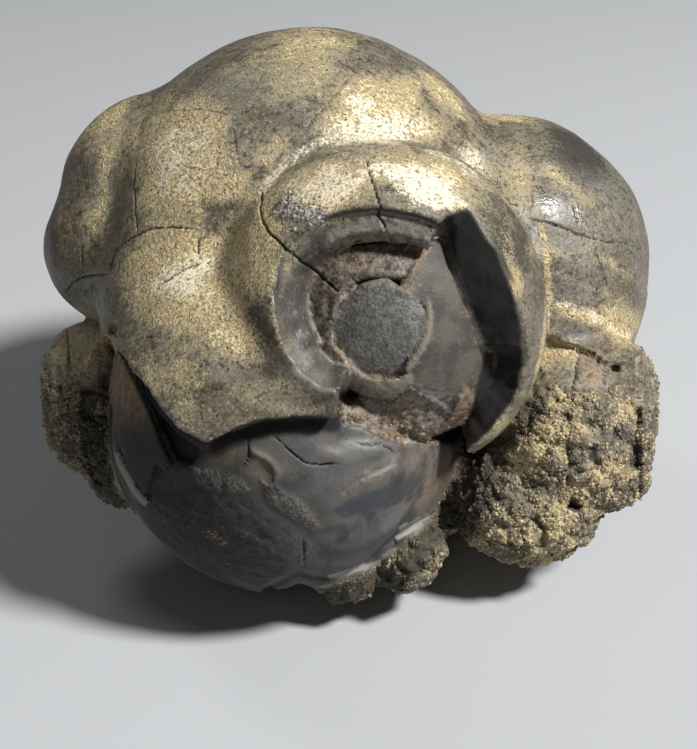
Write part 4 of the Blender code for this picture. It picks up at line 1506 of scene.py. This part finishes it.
def stone_material(oxide, sediment):
    material, s, place = new_material("oxide_skin")
    broad = s.noise(place, 3.6, 3.0)
    middle = s.noise(place, 1.2, 3.0, 0.6)
    small = s.noise(place, 0.42, 3.0, 0.6)
    tiny = s.noise(place, 0.2, 2.0)
    speckle = s.total((broad, 0.25), (middle, 0.25), (small, 0.3), (tiny, 0.2))
    grit = s.total((middle, 0.5), (small, 0.5))
    layers = layer_lines(s, place)
    chin, floor, wall, rough = (s.zone(name) for name in ("chin", "floor", "wall", "rough"))
    silver, orange, core, plate = (s.zone(name) for name in ("silver", "orange", "core", "plate"))
    dust_and_painted_light = s.spread("dust_and_painted_light", speckle, 4.6, 0.45, 0.80)
    cream = s.spread("cream", speckle, 3.6, 0.35, 0.80)
    rust = s.spread("rust", speckle, 4.6, 0.44, 0.80)
    powder = s.most(dust_and_painted_light, cream, rough)

    plate_colour = s.two_tone(broad, 0.38, 0.62, PLATE_DARK, PLATE_BROWN)
    plate_colour = s.mix(s.rise(small, 0.56, 0.74, 0.0, 0.5), plate_colour, HOLE_BROWN)
    wall_colour = s.two_tone(layers, 0.30, 0.70, WALL_DARK, WALL_GREY)
    wall_colour = s.mix(s.rise(small, 0.58, 0.72, 0.0, 0.4), wall_colour, SKIN_LIGHT)
    crust_colour = s.two_tone(small, 0.40, 0.56, CHIN_DARK, CRUST_GREY)
    sand = s.mix(s.times(orange, 0.7), s.group(sediment, place), TAN_ORANGE)
    cream_colour = s.mix(s.times(orange, 0.6), s.two_tone(small, 0.30, 0.52, TAN, CREAM), TAN_ORANGE)
    fleck = s.rise(s.noise(place, 0.55, 3.0, 0.65), 0.45, 0.36)
    hidden_crack = s.times(s.zone("hidden"), s.rise(s.noise(place, 14.0), 0.5, 0.54))
    hidden_crack = s.times(s.rise(s.cell_edges(place, HIDDEN_CRACK_SIZE), 0.006, 0.001), hidden_crack)
    finishes = (  # each lies over those before it
        (s.times(s.zone("cool"), 0.75), SKIN_BLUE),
        (s.spread("dust_and_painted_light", speckle, 2.4, 0.10, 0.80, 0.9), FILM),
        (chin, chin_colour(s, place, small)),
        (floor, s.two_tone(grit, 0.38, 0.60, HOLE_DARK, HOLE_BROWN)),
        (plate, plate_colour),
        (core, s.two_tone(grit, 0.40, 0.62, CORE_DARK, CORE_GREY)),
        (s.zone("ridge"), s.two_tone(small, 0.3, 0.5, HOLE_BROWN, RIDGE_TAN)),
        (wall, wall_colour),
        (s.times(s.zone("warm"), 0.85), s.two_tone(middle, 0.38, 0.6, WARM_DARK, WARM)),
        (silver, s.two_tone(small, 0.35, 0.6, SKIN_BROWN, SILVER)),
        (s.times(dust_and_painted_light, s.minus(0.95, s.times(silver, 0.8))), sand),
        (s.times(rust, 0.8), s.two_tone(small, 0.38, 0.62, RUST_DARK, RUST)),
        (s.times(cream, 0.95), cream_colour),
        (s.times(fleck, s.minus(0.72, s.times(s.most(chin, floor, wall), 0.6))), SKIN_DARK),
        (s.spread("crust", speckle, 3.0, 0.25, 0.85, 0.55), crust_colour),
        # pale edges, and painted highlights
        (s.times(s.zone("pale"), s.rise(small, 0.2, 0.5, 0.4, 1.0)), PALE_EDGE_AND_HIGHLIGHT),
        # dark soil patches, partly painted shade
        (s.spread("soil_and_shade", speckle, 3.5, 0.30, 0.60, 0.9), SKIN_DARK),
        (s.times(s.zone("shade"), 0.97), SHADE_AND_SOIL_BLACK),
        (s.times(rough, s.rise(broad, 0.54, 0.42, 0.0, 0.35)), GRAIN_DARK),
        # painted shade in pits and hollows
        (s.times(s.zone("pit_shade"), 0.7), SHADE_AND_SOIL_BLACK),
        (s.zone("crack"), SHADE_AND_SOIL_BLACK),
        (hidden_crack, SHADE_AND_SOIL_BLACK),
    )
    colour = s.group(oxide, place)
    for share, finish in finishes:
        colour = s.mix(share, colour, finish)

    roughness = s.rise(middle, 0.3, 0.7, 0.40, 0.62)
    for share, value in (
        (chin, s.rise(broad, 0.35, 0.65, 0.46, 0.60)),
        (plate, 0.66),
        (s.zone("chin_dark"), 0.80),
        (powder, 0.88),
        (s.zone("gloss"), 0.22),
        (silver, 0.35),
        (s.zone("shade"), 1.0),
    ):
        roughness = s.blend(share, roughness, value)

    chin_height = s.total((middle, 0.10), (small, 0.06))
    height = s.blend(chin, s.total((middle, 0.10), (small, 0.09)), chin_height)
    for share, rise in (
        (powder, s.times(tiny, 0.14)),
        (s.most(dust_and_painted_light, cream), s.times(small, 0.12)),
        (wall, s.times(layers, 0.012)),
        (core, s.times(small, 0.12)),
        (s.zone("wrinkled"), s.times(s.noise(place, 0.9, 4.0, 0.7, 1.0), 0.8)),
        (s.zone("crust"), s.times(small, 0.45)),
        (hidden_crack, -0.25),
    ):
        height = s.plus(height, s.times(share, rise))
    return finish_with(material, s, colour, roughness, height, 0.9)


def crumb_material(oxide, sediment):
    material, s, place = new_material("loose_crumbs")
    small = s.noise(place, 0.3, 2.0)
    tint, silver = s.zone("tint"), s.rise(s.zone("silver"), 0.05, 0.25)
    cluster = s.times(s.plus(s.noise(place, 2.2, 3.0), -0.5), 2.2)
    sandy = s.plus(s.total((s.zone("dust_and_painted_light"), 0.8), (tint, 0.5), (small, 0.5)), cluster)
    finishes = (  # each lies over those before it
        (s.rise(tint, 0.55, 0.8, 0.0, 0.8), s.group(oxide, place)),
        (s.rise(sandy, 0.60, 1.05, 0.0, 0.70), s.group(sediment, place)),
        (s.times(s.zone("crust"), 0.85), s.mix(tint, CHIN_DARK, CRUST_GREY)),
        (s.times(s.zone("rust"), 0.8), s.mix(tint, RUST_DARK, RUST)),
        (s.times(s.zone("rubble"), 0.75), s.mix(tint, HOLE_DARK, RUST)),
        (silver, s.mix(tint, SKIN_BROWN, SILVER)),
        # painted shade in pits and hollows, and dark soil patches
        (s.times(s.most(s.zone("pit_shade"), s.zone("soil_and_shade")), 0.8), SHADE_AND_SOIL_BLACK),
    )
    colour = s.two_tone(s.plus(tint, cluster), 0.0, 1.0, GRAIN_DARK, GRAIN_BROWN)
    for share, finish in finishes:
        colour = s.mix(share, colour, finish)
    roughness = s.blend(silver, s.rise(small, 0.3, 0.7, 0.55, 0.9), 0.28)
    return finish_with(material, s, colour, roughness, s.times(small, 0.08), 0.8)


# ================================================================ the crumbs
def crumb_tree():
    """Strews small grains over a surface, as thickly as the attribute named by Amount says."""
    tree = bpy.data.node_groups.new("strewn_crumbs", "GeometryNodeTree")
    sockets = {
        "Surface": "Geometry",
        "Amount": "String",
        "Smallest": "Float",
        "Largest": "Float",
        "Per Square Metre": "Float",
        "Sunk": "Float",
        "Seed": "Int",
        "Finish": "Material",
    }
    for name, kind in sockets.items():
        tree.interface.new_socket(name, in_out="INPUT", socket_type="NodeSocket" + kind)
    tree.interface.new_socket("Crumbs", in_out="OUTPUT", socket_type="NodeSocketGeometry")
    given = tree.nodes.new("NodeGroupInput").outputs
    s = Shading(tree)

    def random(kind, low, high, step):
        slots = {"FLOAT_VECTOR": (0, 1, 0), "FLOAT": (2, 3, 1)}[kind]
        inputs = {slots[0]: low, slots[1]: high, "Seed": s.plus(given["Seed"], step)}
        return s.put("FunctionNodeRandomValue", inputs, slots[2], data_type=kind)

    amount = s.put("GeometryNodeInputNamedAttribute", {"Name": given["Amount"]}, data_type="FLOAT")
    density = s.times(amount, given["Per Square Metre"])
    strewn = {"Mesh": given["Surface"], "Density": density, "Seed": given["Seed"]}
    points = s.put("GeometryNodeDistributePointsOnFaces", strewn, "Points")
    sinking = {0: points.node.outputs["Normal"], "Scale": s.times(given["Sunk"], -1.0)}
    sunk = s.put("ShaderNodeVectorMath", sinking, operation="SCALE")
    points = s.put("GeometryNodeSetPosition", {"Geometry": points, "Offset": sunk})
    tint = {"Geometry": points, "Name": "tint", "Value": random("FLOAT", 0.0, 1.0, 1)}
    points = s.put("GeometryNodeStoreNamedAttribute", tint, data_type="FLOAT", domain="POINT")
    placed = {
        "Points": points,
        "Instance": s.put("GeometryNodeMeshIcoSphere", {"Radius": 1.0, "Subdivisions": 1}),
        "Rotation": random("FLOAT_VECTOR", (0.0, 0.0, 0.0), (6.28, 6.28, 6.28), 2),
        "Scale": random("FLOAT_VECTOR", given["Smallest"], given["Largest"], 3),
    }
    crumbs = s.put("GeometryNodeInstanceOnPoints", placed)
    crumbs = s.put("GeometryNodeRealizeInstances", {"Geometry": crumbs})
    crumbs = s.put("GeometryNodeSetShadeSmooth", {"Geometry": crumbs})
    crumbs = s.put("GeometryNodeSetMaterial", {"Geometry": crumbs, "Material": given["Finish"]})
    tree.links.new(crumbs, tree.nodes.new("NodeGroupOutput").inputs["Crumbs"])
    return tree


def make_crumbs(stone, tree, finish, name, thickness, seed):
    """Loose grains on the knobbly lobes and in the hole, as a mesh of their own."""
    crumbs = link_new(name, stone.data)
    strew = crumbs.modifiers.new("strewn_crumbs", "NODES")
    strew.node_group = tree
    values = {
        "Amount": name,
        "Smallest": CRUMB_SIZES[0] * MM,
        "Largest": CRUMB_SIZES[1] * MM,
        "Per Square Metre": thickness / MM**2,
        "Sunk": CRUMB_SUNK * MM,
        "Seed": seed,
        "Finish": finish,
    }
    for socket in tree.interface.items_tree:
        if socket.name in values:
            strew[socket.identifier] = values[socket.name]
    mesh = evaluated_mesh(crumbs)
    crumbs.modifiers.remove(strew)
    mesh.name = name
    crumbs.data = mesh
    return crumbs


# ================================================================ the stage
def make_stage():
    bpy.ops.mesh.primitive_plane_add(size=6.0)
    floor = bpy.context.object
    floor.name = "floor"
    material = bpy.data.materials.new("pale_floor")
    material.use_nodes = True
    shader = material.node_tree.nodes["Principled BSDF"]
    shader.inputs["Base Color"].default_value = (0.42, 0.43, 0.44, 1)
    shader.inputs["Roughness"].default_value = 0.9
    floor.data.materials.append(material)


def make_lights():
    for name, place, size, power in LIGHTS:
        light = bpy.data.lights.new(name, "AREA")
        light.shape = "DISK"
        light.size = size
        light.energy = power
        lamp = link_new(name, light)
        lamp.location = place
        lamp.rotation_euler = (Vector(STONE_MIDDLE) - Vector(place)).to_track_quat("-Z", "Y").to_euler()
    world = bpy.data.worlds.new("studio")
    world.use_nodes = True
    background = world.node_tree.nodes["Background"]
    background.inputs["Color"].default_value = (0.8, 0.85, 0.9, 1)
    background.inputs["Strength"].default_value = 0.06
    bpy.context.scene.world = world
    bpy.context.scene.view_settings.view_transform = "Standard"


def make_camera():
    lens = bpy.data.cameras.new("main_view")
    lens.sensor_fit = "AUTO"
    lens.sensor_width = 36.0
    lens.lens = lens.sensor_width * FOCAL_LENGTH / VIEW_HEIGHT
    lens.clip_start = 0.01
    camera = link_new("main_view", lens)
    camera.location = CAMERA_PLACE * MM
    camera.rotation_euler = (math.pi / 2 - CAMERA_DOWN, 0.0, 0.0)
    bpy.context.scene.camera = camera


# ================================================================ main
def make_stone(oxide, sediment):
    find_pockets()
    points, triangles = first_mesh()
    points = settle(points)
    tree = BVHTree.FromPolygons(points.tolist(), triangles.tolist())  # it tells what the camera sees
    seen = seen_from_camera(points, point_normals(points, triangles), tree)
    points, triangles = thin_hidden_side(points, triangles, seen)
    seen = seen_from_camera(points, point_normals(points, triangles), tree)
    points, triangles = refine(points, triangles, seen)
    points, zones = carve(points, triangles, tree)
    stone = mesh_object("stone", points, triangles)
    write_zones(stone.data, zones)
    stone.data.materials.append(stone_material(oxide, sediment))
    return stone


make_camera()
oxide = colour_group("oxide_colour", oxide_colour)
sediment = colour_group("sediment_colour", sediment_colour)
stone = make_stone(oxide, sediment)
scatter, grain = crumb_tree(), crumb_material(oxide, sediment)
front_crumbs = make_crumbs(stone, scatter, grain, "front_crumbs", FRONT_CRUMBS, 5)
back_crumbs = make_crumbs(stone, scatter, grain, "back_crumbs", BACK_CRUMBS, 6)
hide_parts("nodule")
for piece in (stone, front_crumbs, back_crumbs):
    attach(piece, "root")
make_stage()
make_lights()
